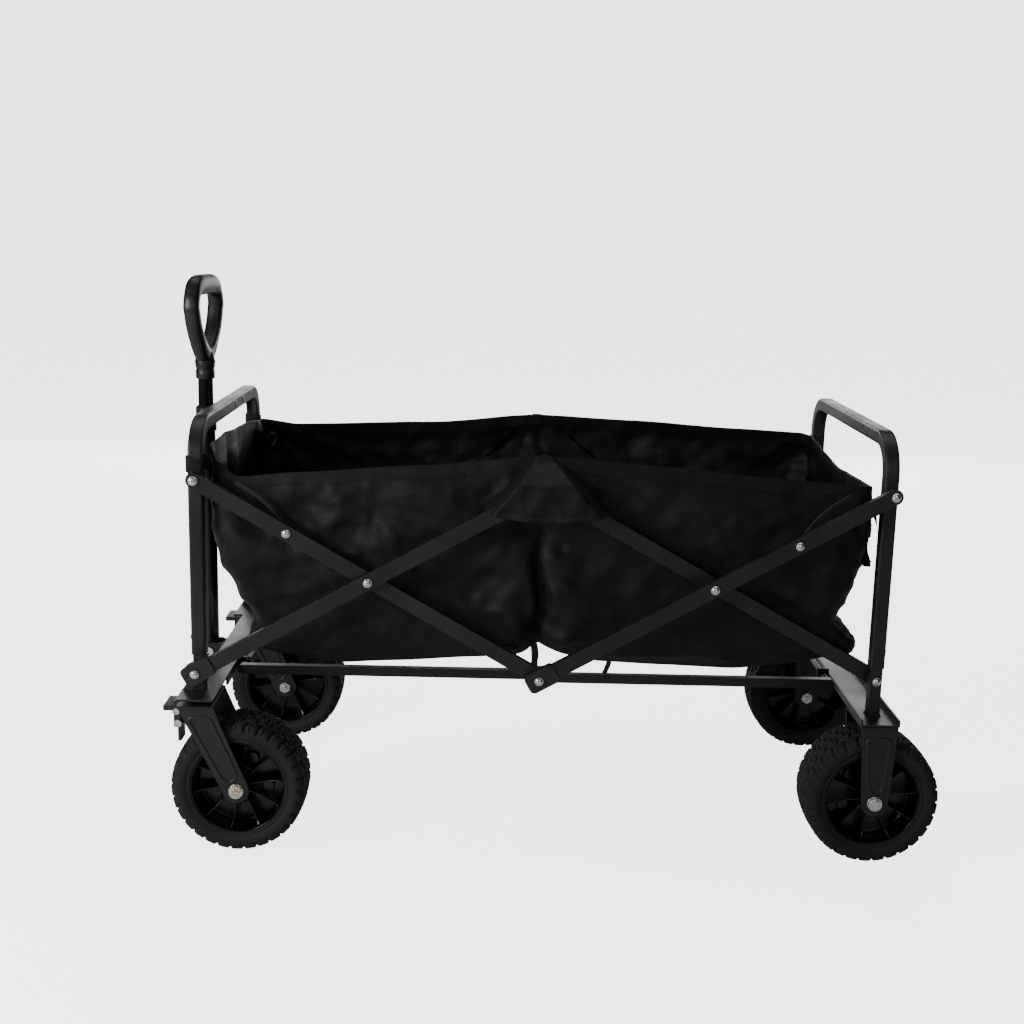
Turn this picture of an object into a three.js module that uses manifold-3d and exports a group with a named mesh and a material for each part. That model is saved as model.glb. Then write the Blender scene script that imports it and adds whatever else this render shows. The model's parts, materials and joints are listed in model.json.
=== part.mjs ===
// A folding pull wagon: two scissor-linked sides, U-shaped end frames that slide on posts,
// a fabric basket, four fat tyres, swivelling front wheels with brakes, and a telescopic handle.
// Millimetres. +X points to the rear, +Z up. The left side of the wagon is at -Y.
import * as THREE from "three";
import { mergeVertices } from "three/addons/utils/BufferGeometryUtils.js";
import Module from "manifold-3d";

const wasm = await Module();
wasm.setup();

// ---- Driving dimensions ----
const LEG_X = 448; // from the middle of the frame to the axis of a leg
const LEG_Y = 212.5; // from the middle of the frame to the axis of a leg
const LOW_Z = 247; // lower pivots of the scissor bars
const HIGH_Z = 500; // upper pivots of the scissor bars
const BASE_MIDDLE = 22; // how far the middle of the whole wagon lies behind the middle of the frame

const LEG = { side: 19, wall: 1.5, corner: 3, bottom: 265, top: 567, bend: 46 };
const POST = { side: 15.4, bore: 11, top: 518 };
const BAR = { height: 20, thick: 10, wall: 1.5 };
const STRUT = { height: 13, thick: 12, wall: 1.5, x: 415, z: 205, frontY: 90, rearY: 103 };
const MIDDLE_ROD_R = 4.4;
const LUG_Y = 61; // of the plates that carry the base struts
const STUD_R = 4;
const RIVET = { r: 5.6, thick: 2.5 };
const BRACKET_SKIN = 2.5;
const SPACER_R = 8;
const PIVOT_GAP = 0.1; // radial clearance of a running pivot
const OPEN_GAP = 0.5; // radial clearance where the linkage closes on itself
const GAP = 0.3; // between pieces that touch

// Distances of the bar layers from the middle of the wagon.
const INNER_LAYER = LEG_Y + 15.5;
const OUTER_LAYER = LEG_Y + 26.5;
const BEHIND_LEG = LEG_Y - 17.5;

const WHEEL = { r: 90, width: 75, rimR: 62.4, hubR: 17, axleR: 6, frontX: -395 };
const FORK = { inner: 168, outer: 257, plate: 3, top: 206, width: 46, end: 17, bossR: 16, boss: 5.5 };
const REAR_FORK = { top: 195.7, width: 48, end: 18 };
const KINGPIN = { r: 5, headR: 9, bottom: 195, top: 222 };
const BRAKE = { x: -473, z: 176, pinR: 3, hubR: 6, earY: 23.5, half: 20, paddle: 21, paddleZ: 15,
  arm: 30, armHalf: 12 };
const FRONT_BEAM = { front: -458, rear: -424, endFront: -472, bottom: 200, top: 215, skin: 3 };
const REAR_BEAM = { front: 422, rear: 474, bottom: 196, lip: 206, skin: 3, half: 256.5 };
const FRAME_STUD = { front: 11.3, rear: 22.3 }; // how far the upper studs stand out of the legs
const HANDLE = { x: -478, pivotZ: 205, tubeR: 12.3, wall: 1.4, tubeTop: 545, tiltPinR: 4 };
const TILT_HEAD = { r: 7, thick: 2.5 };
const CHEEK = { nose: 12, height: 26, thick: 3, corner: 5, flange: 10 }; // of the handle's bracket
const INNER_TUBE = { r: 10.5, bore: 9.1, bottom: 250, top: 628 };
const COLLAR = { r: 14.5, bottom: 530, top: 566 };
const GRIP = { socket: 605, socketR: 13.4, loop: 627, hip: 706, top: 751, thick: 22, half: 65,
  foot: 15, side: 19, bar: 29, corner: 34, steep: 2.4, twist: -6 }; // twist in degrees about the tube
const BASKET = { frontTop: -425, rearTop: 425, frontFloor: -372, rearFloor: 395,
  halfTop: 198, halfFloor: 184, floor: 258, rimEnds: 505, rimMiddle: 537, skin: 4 };

// ---- Looks ----
const PAINT = { color: 0x1d1c1e, roughness: 0.42, metalness: 0.6 };
const ZINC = { color: 0xc9ccce, roughness: 0.3, metalness: 1.0 };
const RUBBER = { color: 0x1b1a1b, roughness: 0.85, metalness: 0.0 };
const PLASTIC = { color: 0x101012, roughness: 0.35, metalness: 0.0 };
const FABRIC = { color: 0x16161b, roughness: 0.9, metalness: 0.0 };

// ---- Solids ----
function toSolid(geometry) {
  const bare = new THREE.BufferGeometry();
  const loose = geometry.index ? geometry.toNonIndexed() : geometry;
  bare.setAttribute("position", loose.getAttribute("position"));
  const merged = mergeVertices(bare, 1e-3);
  const triVerts = new Uint32Array(merged.index.array);
  const vertProperties = merged.attributes.position.array;
  return new wasm.Manifold(new wasm.Mesh({ numProp: 3, vertProperties, triVerts }));
}

function toGeometry(solid) {
  const made = solid.getMesh();
  const geometry = new THREE.BufferGeometry();
  geometry.setAttribute("position", new THREE.BufferAttribute(made.vertProperties, 3));
  geometry.setIndex(new THREE.BufferAttribute(made.triVerts, 1));
  geometry.computeVertexNormals();
  return geometry;
}

const join = (first, ...others) => others.reduce((a, b) => a.add(b), first);
const cut = (first, ...tools) => tools.reduce((a, b) => a.subtract(b), first);

function box(x0, x1, y0, y1, z0, z1) {
  const geometry = new THREE.BoxGeometry(x1 - x0, y1 - y0, z1 - z0);
  return toSolid(geometry.translate((x0 + x1) / 2, (y0 + y1) / 2, (z0 + z1) / 2));
}

// A round bar along Y, or along Z.
function rodY(x, z, r, y0, y1, sides = 12) {
  const geometry = new THREE.CylinderGeometry(r, r, Math.abs(y1 - y0), sides);
  return toSolid(geometry.translate(x, (y0 + y1) / 2, z));
}

function rodZ(x, y, r, z0, z1, sides = 12, topR = r) {
  const geometry = new THREE.CylinderGeometry(topR, r, z1 - z0, sides).rotateX(Math.PI / 2);
  return toSolid(geometry.translate(x, y, (z0 + z1) / 2));
}

// A twelve-sided hole of this radius clears a round pin at every angle.
const holeFor = (r) => r / Math.cos(Math.PI / 12);

// A flat plate: an outline in X and Z, from y0 to y1.
function plate(outline, y0, y1, curveSegments = 6) {
  const options = { depth: y1 - y0, bevelEnabled: false, curveSegments };
  const geometry = new THREE.ExtrudeGeometry(outline, options).rotateX(Math.PI / 2);
  return toSolid(geometry.translate(0, y1, 0));
}

function roundedRect(width, height, r) {
  const x = width / 2 - r;
  const y = height / 2 - r;
  const shape = new THREE.Shape();
  shape.absarc(x, y, r, 0, Math.PI / 2);
  shape.absarc(-x, y, r, Math.PI / 2, Math.PI);
  shape.absarc(-x, -y, r, Math.PI, 1.5 * Math.PI);
  shape.absarc(x, -y, r, 1.5 * Math.PI, 2 * Math.PI);
  shape.closePath();
  return shape;
}

// An outline with a round end about (0, 0) and another about (length, 0).
function stadium(length, r) {
  const shape = new THREE.Shape();
  shape.absarc(length, 0, r, -Math.PI / 2, Math.PI / 2);
  shape.absarc(0, 0, r, Math.PI / 2, 1.5 * Math.PI);
  shape.closePath();
  return shape;
}

// A path through given points, one section at each point, square to both its neighbours.
class PointPath extends THREE.Curve {
  constructor(points) {
    super();
    this.points = points;
  }

  index(u) {
    return Math.round(u * (this.points.length - 1));
  }

  getPointAt(u, target = new THREE.Vector3()) {
    return target.copy(this.points[this.index(u)]);
  }

  getTangentAt(u, target = new THREE.Vector3()) {
    const i = this.index(u);
    const here = this.points[i];
    const last = this.points.length - 1;
    target.set(0, 0, 0);
    if (i > 0) target.add(here.clone().sub(this.points[i - 1]).normalize());
    if (i < last) target.add(this.points[i + 1].clone().sub(here).normalize());
    return target.normalize();
  }
}

function mesh(name, solid, look) {
  const made = new THREE.Mesh(toGeometry(solid), new THREE.MeshStandardMaterial(look));
  made.name = name;
  return made;
}

// ---- Bars of the scissor linkage ----
// A flat tube with round ends between two pivots, built along its own X and then turned into place.
function flatBar(from, to, { height, thick, wall }) {
  const along = to.clone().sub(from);
  const length = along.length();
  along.normalize();
  const across = new THREE.Vector3(0, 1, 0).addScaledVector(along, -along.y).normalize();
  const place = new THREE.Matrix4().makeBasis(along, across, along.clone().cross(across));
  place.setPosition(from);
  const outline = stadium(length, height / 2);
  const options = { depth: thick, bevelEnabled: false, curveSegments: 6 };
  const body = new THREE.ExtrudeGeometry(outline, options).rotateX(Math.PI / 2);
  const hollow = new THREE.BoxGeometry(length + 3 * height, thick - 2 * wall, height - 2 * wall);
  body.translate(0, thick / 2, 0).applyMatrix4(place);
  hollow.translate(length / 2, 0, 0).applyMatrix4(place);
  return cut(toSolid(body), toSolid(hollow));
}

function pivotHole(x, z, gap) {
  return rodY(x, z, holeFor(STUD_R + gap), -LEG_Y - 60, -LEG_Y + 60);
}

function scissorBar(from, to, gapFrom, gapMiddle, gapTo) {
  const middle = from.clone().lerp(to, 0.5);
  return cut(
    flatBar(from, to, BAR),
    pivotHole(from.x, from.z, gapFrom),
    pivotHole(middle.x, middle.z, gapMiddle),
    pivotHole(to.x, to.z, gapTo),
  );
}

// A pressed channel over the end of a bar: a cheek outside it and a flange above and below.
function endBracket(x, z, angle, flange) {
  const cheek = roundedRect(42, 27, 7);
  const outside = -OUTER_LAYER - BAR.thick / 2 - GAP;
  const skin = BRACKET_SKIN;
    const low = BAR.height / 2 + GAP;
  const shell = join(
    plate(cheek, -skin, 0, 3),
    box(-14, 19, -0.5, flange, low, low + 2),
    box(-14, 19, -0.5, flange, -low - 2, -low),
  );
  const geometry = toGeometry(shell);
  geometry.translate(4, 0, 0).rotateY(-angle).translate(x, outside, z);
  return cut(toSolid(geometry), pivotHole(x, z, PIVOT_GAP));
}

// A riveted pin with two heads; y values are distances from the middle of the wagon, and a spacer
// is a collar between two of them.
function pivotPin(x, z, inside, outside, spacer) {
  const { r, thick } = RIVET;
  const pieces = [
    rodY(x, z, STUD_R, -outside, -inside),
    rodY(x, z, r, -inside, -inside + thick),
    rodY(x, z, r, -outside - thick, -outside),
  ];
  if (spacer) pieces.push(rodY(x, z, r, -spacer[1], -spacer[0]));
  return join(...pieces);
}

// A stud that stands out from a leg or a post, with a spacer and a head; y values are distances
// from the middle of the wagon, and sign says which side it is on.
function stud(x, z, root, spacer, end, sign) {
  const head = RIVET.thick * Math.sign(end - root);
  return join(
    rodY(x, z, SPACER_R, sign * root, sign * spacer),
    rodY(x, z, STUD_R, sign * root, sign * end),
    rodY(x, z, RIVET.r, sign * end, sign * (end + head)),
  );
}

// ---- End frames and posts ----
function uFramePath(x) {
  const { bottom, top, bend } = LEG;
  const steps = 5;
  const points = [new THREE.Vector3(x, -LEG_Y, bottom)];
  for (const side of [-1, 1]) {
    for (let i = 0; i <= steps; i++) {
      const turn = ((side < 0 ? i : steps - i) / steps) * (Math.PI / 2);
      const y = side * (LEG_Y - bend + bend * Math.cos(turn));
      points.push(new THREE.Vector3(x, y, top - bend + bend * Math.sin(turn)));
    }
  }
  points.push(new THREE.Vector3(x, LEG_Y, bottom));
  return new PointPath(points);
}

function uFrame(x, spacer, end) {
  const section = roundedRect(LEG.side, LEG.side, LEG.corner);
  const hole = LEG.side - 2 * LEG.wall;
  section.holes.push(new THREE.Shape([
    new THREE.Vector2(-hole / 2, -hole / 2), new THREE.Vector2(hole / 2, -hole / 2),
    new THREE.Vector2(hole / 2, hole / 2), new THREE.Vector2(-hole / 2, hole / 2),
  ]));
  const path = uFramePath(x);
  const options = { steps: path.points.length - 1, extrudePath: path, curveSegments: 2 };
  const tube = toSolid(new THREE.ExtrudeGeometry(section, options));
  const face = LEG_Y + LEG.side / 2;
  return join(
    tube,
    stud(x, HIGH_Z, face - 1, face + spacer, face + end, -1),
    stud(x, HIGH_Z, face - 1, face + spacer, face + end, 1),
  );
}

// The square post that the leg slides on.
function post(x, bottom) {
  const half = POST.side / 2;
  const bore = POST.bore / 2;
  return cut(
    box(x - half, x + half, -LEG_Y - half, -LEG_Y + half, bottom, POST.top),
    box(x - bore, x + bore, -LEG_Y - bore, -LEG_Y + bore, bottom - 1, POST.top + 1),
  );
}

function frontPost() {
  const face = LEG_Y + POST.side / 2;
  const barInside = OUTER_LAYER - BAR.thick / 2 - GAP;
  const end = OUTER_LAYER + BAR.thick / 2 + 2 * GAP + BRACKET_SKIN;
  return join(
    post(-LEG_X, FRONT_BEAM.top + GAP),
    stud(-LEG_X, LOW_Z, face - 1.5, barInside, end, -1),
  );
}

function rearPost() {
  const face = LEG_Y + POST.side / 2;
  const innerFace = LEG_Y - POST.side / 2;
  const barOutside = BEHIND_LEG + BAR.thick / 2 + 1;
  const end = BEHIND_LEG - BAR.thick / 2 - 1;
  return join(
    post(LEG_X, REAR_BEAM.bottom + REAR_BEAM.skin + GAP),
    stud(LEG_X, LOW_Z, innerFace + 1.5, barOutside, end, -1),
    rodY(LEG_X, LOW_Z, RIVET.r, -face - RIVET.thick, -face + 1),
  );
}

// ---- Front and rear base ----
function lug(front, rear, y) {
  return box(front, rear, y - 2, y + 2, STRUT.z - 8, STRUT.z + 8);
}

function lugHoles(x) {
  return rodY(x, STRUT.z, holeFor(STUD_R + PIVOT_GAP), -LUG_Y - 9, LUG_Y + 9);
}

function frontBeam() {
  const { front, rear, endFront, bottom, top, skin } = FRONT_BEAM;
  const half = REAR_BEAM.half;
  const innerHalf = 150;
  const gusset = new THREE.Shape([
    new THREE.Vector2(endFront + 1, top - 1),
    new THREE.Vector2(-LEG_X - 8.2, top - 1),
    new THREE.Vector2(-LEG_X - 8.2, LOW_Z - 4),
  ]);
  const solid = join(
    box(front, rear, -innerHalf, innerHalf, top - skin, top),
    box(front, front + skin, -innerHalf, innerHalf, bottom, top - 1),
    box(rear - skin, rear, -innerHalf, innerHalf, bottom, top - 1),
    box(endFront, rear, -half, -innerHalf + 1, top - skin, top),
    box(endFront, rear, innerHalf - 1, half, top - skin, top),
    plate(gusset, -LEG_Y - 5, -LEG_Y + 5),
    plate(gusset, LEG_Y - 5, LEG_Y + 5),
    lug(rear - 2, rear + 17, -LUG_Y),
    lug(rear - 2, rear + 17, LUG_Y),
  );
  const pinHole = holeFor(KINGPIN.r + PIVOT_GAP);
  return cut(
    solid,
    lugHoles(-STRUT.x),
    rodZ(-LEG_X, -LEG_Y, pinHole, top - skin - 1, top + 1),
    rodZ(-LEG_X, LEG_Y, pinHole, top - skin - 1, top + 1),
  );
}

function rearBeam() {
  const { front, rear, bottom, lip, skin, half } = REAR_BEAM;
  const solid = join(
    box(front, rear, -half, half, bottom, bottom + skin),
    box(front, front + skin, -half, half, bottom, lip),
    box(rear - skin, rear, -half, half, bottom, lip),
    lug(front - 15, front + 2, -LUG_Y),
    lug(front - 15, front + 2, LUG_Y),
  );
  return cut(solid, lugHoles(STRUT.x));
}

// Two rails joined by a cross rod at their pivot, and by another at the middle of the wagon.
function baseStrut(sign, railY, middleRod) {
  const rails = [-railY, railY].map((y) =>
    flatBar(new THREE.Vector3(sign * STRUT.x, y, STRUT.z), new THREE.Vector3(0, y, STRUT.z), STRUT),
  );
  const pieces = [...rails, rodY(sign * STRUT.x, STRUT.z, STUD_R, -railY, railY)];
  if (middleRod) pieces.push(rodY(0, STRUT.z, MIDDLE_ROD_R, -railY, railY));
  return join(...pieces);
}

// ---- Wheels and forks ----
function lathe(profile, x) {
  const points = profile.map(([r, y]) => new THREE.Vector2(r, y));
  const geometry = new THREE.LatheGeometry(points, 24);
  return toSolid(geometry.translate(x, -LEG_Y, WHEEL.r));
}

function tyre(x) {
  const half = WHEEL.width / 2;
  const r = WHEEL.r;
  const bead = WHEEL.rimR + GAP;
  return lathe([
    [bead, -half + 4], [72, -half], [r - 7, -half + 1], [r - 1.5, -half + 8], [r, -half + 18],
    [r, half - 18], [r - 1.5, half - 8], [r - 7, half - 1], [72, half], [bead, half - 4],
    [bead, -half + 4],
  ], x);
}

function rim(x) {
  const half = WHEEL.width / 2 - 4;
  const { rimR, hubR, axleR } = WHEEL;
  const bore = axleR + 0.15;
  const inside = rimR - 3.4;
  const hub = WHEEL.width / 2 + 1.5;
  return lathe([
    [bore, -hub], [hubR, -hub], [hubR, -5], [inside, -5], [inside, -half], [rimR, -half],
    [rimR, half], [inside, half], [inside, 5], [hubR, 5], [hubR, hub], [bore, hub], [bore, -hub],
  ], x);
}

function forkPlate(topX, width, topZ, axleX, end) {
  const lean = Math.atan2(axleX - topX, topZ - WHEEL.r);
  const shape = new THREE.Shape();
  shape.moveTo(topX + width / 2, topZ);
  shape.lineTo(topX - width / 2, topZ);
  shape.absarc(axleX, WHEEL.r, end, Math.PI + lean, 2 * Math.PI + lean);
  shape.closePath();
  return shape;
}

function fork(topX, width, topZ, axleX, end) {
  const { inner, outer, plate: skin } = FORK;
  const outline = forkPlate(topX, width, topZ, axleX, end);
  const solid = join(
    plate(outline, -outer, -outer + skin, 7),
    plate(outline, -inner - skin, -inner, 7),
    box(topX - width / 2, topX + width / 2, -outer + 1, -inner - 1, topZ - skin, topZ),
  );
  return cut(solid, rodY(axleX, WHEEL.r, holeFor(WHEEL.axleR + PIVOT_GAP), -outer - 5, -inner + 5));
}

function casterFork() {
  const topX = -LEG_X;
  const front = topX - FORK.width / 2;
  const ears = [-1, 1].map((side) => {
    const y = -LEG_Y + side * BRAKE.earY;
    return box(BRAKE.x - 6, front + 2, y - 1.5, y + 1.5, BRAKE.z - 6, FORK.top);
  });
  const boss = rodZ(topX, -LEG_Y, FORK.bossR, FORK.top - 1, FORK.top + FORK.boss);
  const solid = join(fork(topX, FORK.width, FORK.top, WHEEL.frontX, FORK.end), boss, ...ears);
  return cut(
    solid,
    rodZ(topX, -LEG_Y, holeFor(KINGPIN.r + PIVOT_GAP), FORK.top - 5, FORK.top + 8),
    rodY(BRAKE.x, BRAKE.z, holeFor(BRAKE.pinR + PIVOT_GAP), -LEG_Y - 40, -LEG_Y + 40),
  );
}

function kingpin() {
  return join(
    rodZ(-LEG_X, -LEG_Y, KINGPIN.r, KINGPIN.bottom, KINGPIN.top),
    rodZ(-LEG_X, -LEG_Y, KINGPIN.headR, KINGPIN.bottom, FORK.top - FORK.plate - GAP),
  );
}

function axle(x) {
  const head = 9;
  const out = FORK.outer + GAP;
  const inn = FORK.inner - GAP;
  return join(
    rodY(x, WHEEL.r, WHEEL.axleR, -out, -inn),
    rodY(x, WHEEL.r, head, -out - 4.5, -out),
    rodY(x, WHEEL.r, head, -inn, -inn + 6, 6),
  );
}

// A rocking brake: the foot paddle presses its lower arm against the tread.

function brakePedal() {
  const { x, z, pinR, hubR, earY, half, paddle, paddleZ, arm, armHalf } = BRAKE;
  const wide = [-LEG_Y - half, -LEG_Y + half];
  return join(
    rodY(x, z, pinR, -LEG_Y - earY - 3, -LEG_Y + earY + 3),
    rodY(x, z, hubR, ...wide),
    box(x - 4, x - 0.5, ...wide, z, z + paddleZ + 2),
    box(x - paddle, x - 0.5, ...wide, z + paddleZ, z + paddleZ + 7),
    box(x - 4, x + 0.5, -LEG_Y - armHalf, -LEG_Y + armHalf, z - arm, z),
  );
}

// ---- Pull handle ----
function pipeZ(x, r, bore, z0, z1) {
  return cut(rodZ(x, 0, r, z0, z1, 16), rodZ(x, 0, bore, z0 - 1, z1 + 1, 16));
}

function handleBracket() {
  const { x, pivotZ, tiltPinR } = HANDLE;
  const { nose, height, thick, corner, flange } = CHEEK;
  const inside = HANDLE.tubeR + 0.6;
  const back = FRONT_BEAM.front - GAP;
  const cheek = roundedRect(back - x + nose, height, corner);
  const centre = (back + x - nose) / 2;
  const cheeks = [-inside - thick, inside].map((y) => {
    const geometry = toGeometry(plate(cheek, y, y + thick, 3));
    return toSolid(geometry.translate(centre, 0, pivotZ));
  });
  const reach = inside + flange;
  const solid = join(...cheeks, box(back - 2, back, -reach, reach, pivotZ - 5, pivotZ + 10));
  return cut(solid, rodY(x, pivotZ, holeFor(tiltPinR + PIVOT_GAP), -reach, reach));
}

function handlePin() {
  const { x, pivotZ, tubeR, tiltPinR } = HANDLE;
  const { r, thick } = TILT_HEAD;
  const reach = tubeR + CHEEK.thick + 1;
  return join(
    rodY(x, pivotZ, tiltPinR, -reach, reach),
    rodY(x, pivotZ, r, -reach - thick, -reach),
    rodY(x, pivotZ, r, reach, reach + thick),
  );
}

function handleOuterTube() {
  const { x, pivotZ, tubeR, wall, tubeTop, tiltPinR } = HANDLE;
  const side = new THREE.Shape();
  side.moveTo(x + tubeR + 1, tubeTop + 1);
  side.lineTo(x - tubeR - 1, tubeTop + 1);
  side.absarc(x, pivotZ, tubeR, Math.PI, 2 * Math.PI);
  side.closePath();
  const tube = pipeZ(x, tubeR, tubeR - wall, pivotZ - tubeR, tubeTop);
  const rounded = tube.intersect(plate(side, -tubeR - 1, tubeR + 1, 8));
  return cut(rounded, rodY(x, pivotZ, holeFor(tiltPinR + PIVOT_GAP), -30, 30));
}

function handleCollar() {
  const { r, bottom, top } = COLLAR;
  return cut(
    rodZ(HANDLE.x, 0, r, bottom, top, 16),
    rodZ(HANDLE.x, 0, HANDLE.tubeR + GAP, bottom - 1, HANDLE.tubeTop + GAP, 16),
    rodZ(HANDLE.x, 0, INNER_TUBE.r + 0.4, bottom - 1, top + 1, 16),
  );
}

function handleInnerTube() {
  return pipeZ(HANDLE.x, INNER_TUBE.r, INNER_TUBE.bore, INNER_TUBE.bottom, INNER_TUBE.top);
}

// The loop is drawn in Y and Z: wide at the top, narrowing in a V to the socket. inset draws the
// hand hole, whose foot rises faster than its sides come in.
function gripOutline(inset, top) {
  const shape = new THREE.Shape();
  const half = GRIP.half - inset;
  const low = GRIP.loop + GRIP.steep * inset;
  const corner = GRIP.corner - inset;
  const foot = Math.max(GRIP.foot - inset, 2);
  const knee = { y: half - 4, z: low + 30 };
  shape.moveTo(-foot, low);
  shape.lineTo(foot, low);
  shape.quadraticCurveTo(knee.y, knee.z, half, GRIP.hip);
  shape.lineTo(half, top - corner);
  shape.absarc(half - corner, top - corner, corner, 0, Math.PI / 2);
  shape.absarc(-half + corner, top - corner, corner, Math.PI / 2, Math.PI);
  shape.lineTo(-half, GRIP.hip);
  shape.quadraticCurveTo(-knee.y, knee.z, -foot, low);
  return shape;
}

function handleGrip() {
  const { socket, socketR, loop, top, thick, side, bar, twist } = GRIP;
  const outline = gripOutline(0, top);
  outline.holes.push(gripOutline(side, top - bar));
  const options = { depth: thick, bevelEnabled: false, curveSegments: 6 };
  const ring = new THREE.ExtrudeGeometry(outline, options);
  const upright = new THREE.Matrix4().makeBasis(
    new THREE.Vector3(0, 1, 0), new THREE.Vector3(0, 0, 1), new THREE.Vector3(1, 0, 0));
  ring.applyMatrix4(upright).translate(-thick / 2, 0, 0);
  ring.rotateZ(THREE.MathUtils.degToRad(twist)).translate(HANDLE.x, 0, 0);
  const neck = rodZ(HANDLE.x, 0, socketR, socket, loop + 6, 16, 14);
  const bore = rodZ(HANDLE.x, 0, INNER_TUBE.r + GAP, socket - 1, INNER_TUBE.top + GAP, 16);
  return cut(join(toSolid(ring), neck), bore);
}

// ---- Basket ----
// A box that tapers to its floor and whose rim rises to the middle; inset is the skin.
function basketBody(inset, floor, above) {
  const geometry = new THREE.BoxGeometry(2, 2, 1, 8, 1, 1);
  const place = geometry.getAttribute("position");
  const height = BASKET.rimEnds - BASKET.floor;
  for (let i = 0; i < place.count; i++) {
    const u = place.getX(i);
    const atTop = place.getZ(i) > 0;
    const rim = BASKET.rimEnds + (BASKET.rimMiddle - BASKET.rimEnds) * (1 - u * u);
    const z = atTop ? rim + above : floor;
    const share = (z - BASKET.floor) / height;
    const front = THREE.MathUtils.lerp(BASKET.frontFloor, BASKET.frontTop, share) + inset;
    const rear = THREE.MathUtils.lerp(BASKET.rearFloor, BASKET.rearTop, share) - inset;
    const half = THREE.MathUtils.lerp(BASKET.halfFloor, BASKET.halfTop, share) - inset;
    place.setXYZ(i, THREE.MathUtils.lerp(front, rear, (u + 1) / 2), place.getY(i) * half, z);
  }
  return toSolid(geometry);
}

function basket() {
  const { skin, floor } = BASKET;
  return cut(basketBody(0, floor, 0), basketBody(skin, floor + skin, 20));
}

// ---- One side of the wagon, modelled on the left ----
function side(name) {
  const group = new THREE.Group();
  const add = (piece, solid, look) => group.add(mesh(`${name}_${piece}`, solid, look));
  const frontLow = new THREE.Vector3(-LEG_X, -OUTER_LAYER, LOW_Z);
  const frontHigh = new THREE.Vector3(-LEG_X, -INNER_LAYER, HIGH_Z);
  const rearHigh = new THREE.Vector3(LEG_X, -OUTER_LAYER, HIGH_Z);
  const rearLow = new THREE.Vector3(LEG_X, -BEHIND_LEG, LOW_Z);
  const topOuter = new THREE.Vector3(0, -OUTER_LAYER, HIGH_Z);
  const topInner = new THREE.Vector3(0, -INNER_LAYER + 0.5, HIGH_Z);
  const bottomInner = new THREE.Vector3(0, -INNER_LAYER, LOW_Z);
  const bottomOuter = new THREE.Vector3(0, -OUTER_LAYER, LOW_Z);
  add("lower_front_bar", scissorBar(frontLow, topOuter, PIVOT_GAP, PIVOT_GAP, PIVOT_GAP), PAINT);
  add("upper_front_bar", scissorBar(frontHigh, bottomInner, OPEN_GAP, PIVOT_GAP, PIVOT_GAP), PAINT);
  add("lower_rear_bar", scissorBar(topInner, rearLow, PIVOT_GAP, PIVOT_GAP, OPEN_GAP), PAINT);
  add("upper_rear_bar", scissorBar(bottomOuter, rearHigh, OPEN_GAP, PIVOT_GAP, OPEN_GAP), PAINT);

  const slope = Math.atan2(HIGH_Z - LOW_Z, LEG_X);
  add("front_bracket", endBracket(-LEG_X, LOW_Z, slope, 20), PAINT);
  add("middle_bracket", endBracket(0, LOW_Z, slope, BAR.thick), PAINT);

  const inside = INNER_LAYER - BAR.thick / 2 - GAP;
  const outside = OUTER_LAYER + BAR.thick / 2 + GAP;
  const middleZ = (LOW_Z + HIGH_Z) / 2;
  const rearBarY = (INNER_LAYER - 0.5 + BEHIND_LEG) / 2;
  const rearInside = rearBarY - BAR.thick / 2 - 1;
  const rearSpacer = [rearBarY + BAR.thick / 2 + 1, OUTER_LAYER - BAR.thick / 2 - GAP];
  add("front_cross_pin", pivotPin(-LEG_X / 2, middleZ, inside, outside), ZINC);
  add("rear_cross_pin", pivotPin(LEG_X / 2, middleZ, rearInside, outside, rearSpacer), ZINC);
  add("top_pin", pivotPin(0, HIGH_Z, inside - 1, outside), ZINC);
  add("bottom_pin", pivotPin(0, LOW_Z, inside, outside + BRACKET_SKIN + GAP), ZINC);

  add("front_post", frontPost(), PAINT);
  add("rear_post", rearPost(), PAINT);
  add("rear_fork", fork(LEG_X, REAR_FORK.width, REAR_FORK.top, LEG_X, REAR_FORK.end), PAINT);
  add("rear_axle", axle(LEG_X), ZINC);
  add("rear_tyre", tyre(LEG_X), RUBBER);
  add("rear_rim", rim(LEG_X), PLASTIC);
  add("caster_fork", casterFork(), PAINT);
  add("kingpin", kingpin(), ZINC);
  add("front_axle", axle(WHEEL.frontX), ZINC);
  add("front_tyre", tyre(WHEEL.frontX), RUBBER);
  add("front_rim", rim(WHEEL.frontX), PLASTIC);
  add("brake_pedal", brakePedal(), PLASTIC);
  return group;
}

// ---- The wagon ----
const wagon = new THREE.Group();
const left = side("left");
const right = side("right");
right.scale.y = -1;
wagon.add(left, right);

const upperFrontSpacer = 0.7;
const upperRearSpacer = OUTER_LAYER - BAR.thick / 2 - GAP - LEG_Y - LEG.side / 2;
wagon.add(mesh("front_frame", uFrame(-LEG_X, upperFrontSpacer, FRAME_STUD.front), PAINT));
wagon.add(mesh("rear_frame", uFrame(LEG_X, upperRearSpacer, FRAME_STUD.rear), PAINT));
wagon.add(mesh("front_beam", frontBeam(), PAINT));
wagon.add(mesh("rear_beam", rearBeam(), PAINT));
wagon.add(mesh("base_strut_front", baseStrut(-1, STRUT.frontY, true), PAINT));
wagon.add(mesh("base_strut_rear", baseStrut(1, STRUT.rearY, false), PAINT));
wagon.add(mesh("handle_bracket", handleBracket(), PAINT));
wagon.add(mesh("handle_pin", handlePin(), ZINC));
wagon.add(mesh("handle_outer_tube", handleOuterTube(), PAINT));
wagon.add(mesh("handle_collar", handleCollar(), PLASTIC));
wagon.add(mesh("handle_inner_tube", handleInnerTube(), PAINT));
wagon.add(mesh("handle_grip", handleGrip(), PLASTIC));
wagon.add(mesh("basket", basket(), FABRIC));
wagon.position.x = -BASE_MIDDLE;

export default wagon;
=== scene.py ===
"""The look of the folding pull wagon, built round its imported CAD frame. Metres, +X to the rear, +Z up."""

import json
import math

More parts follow.
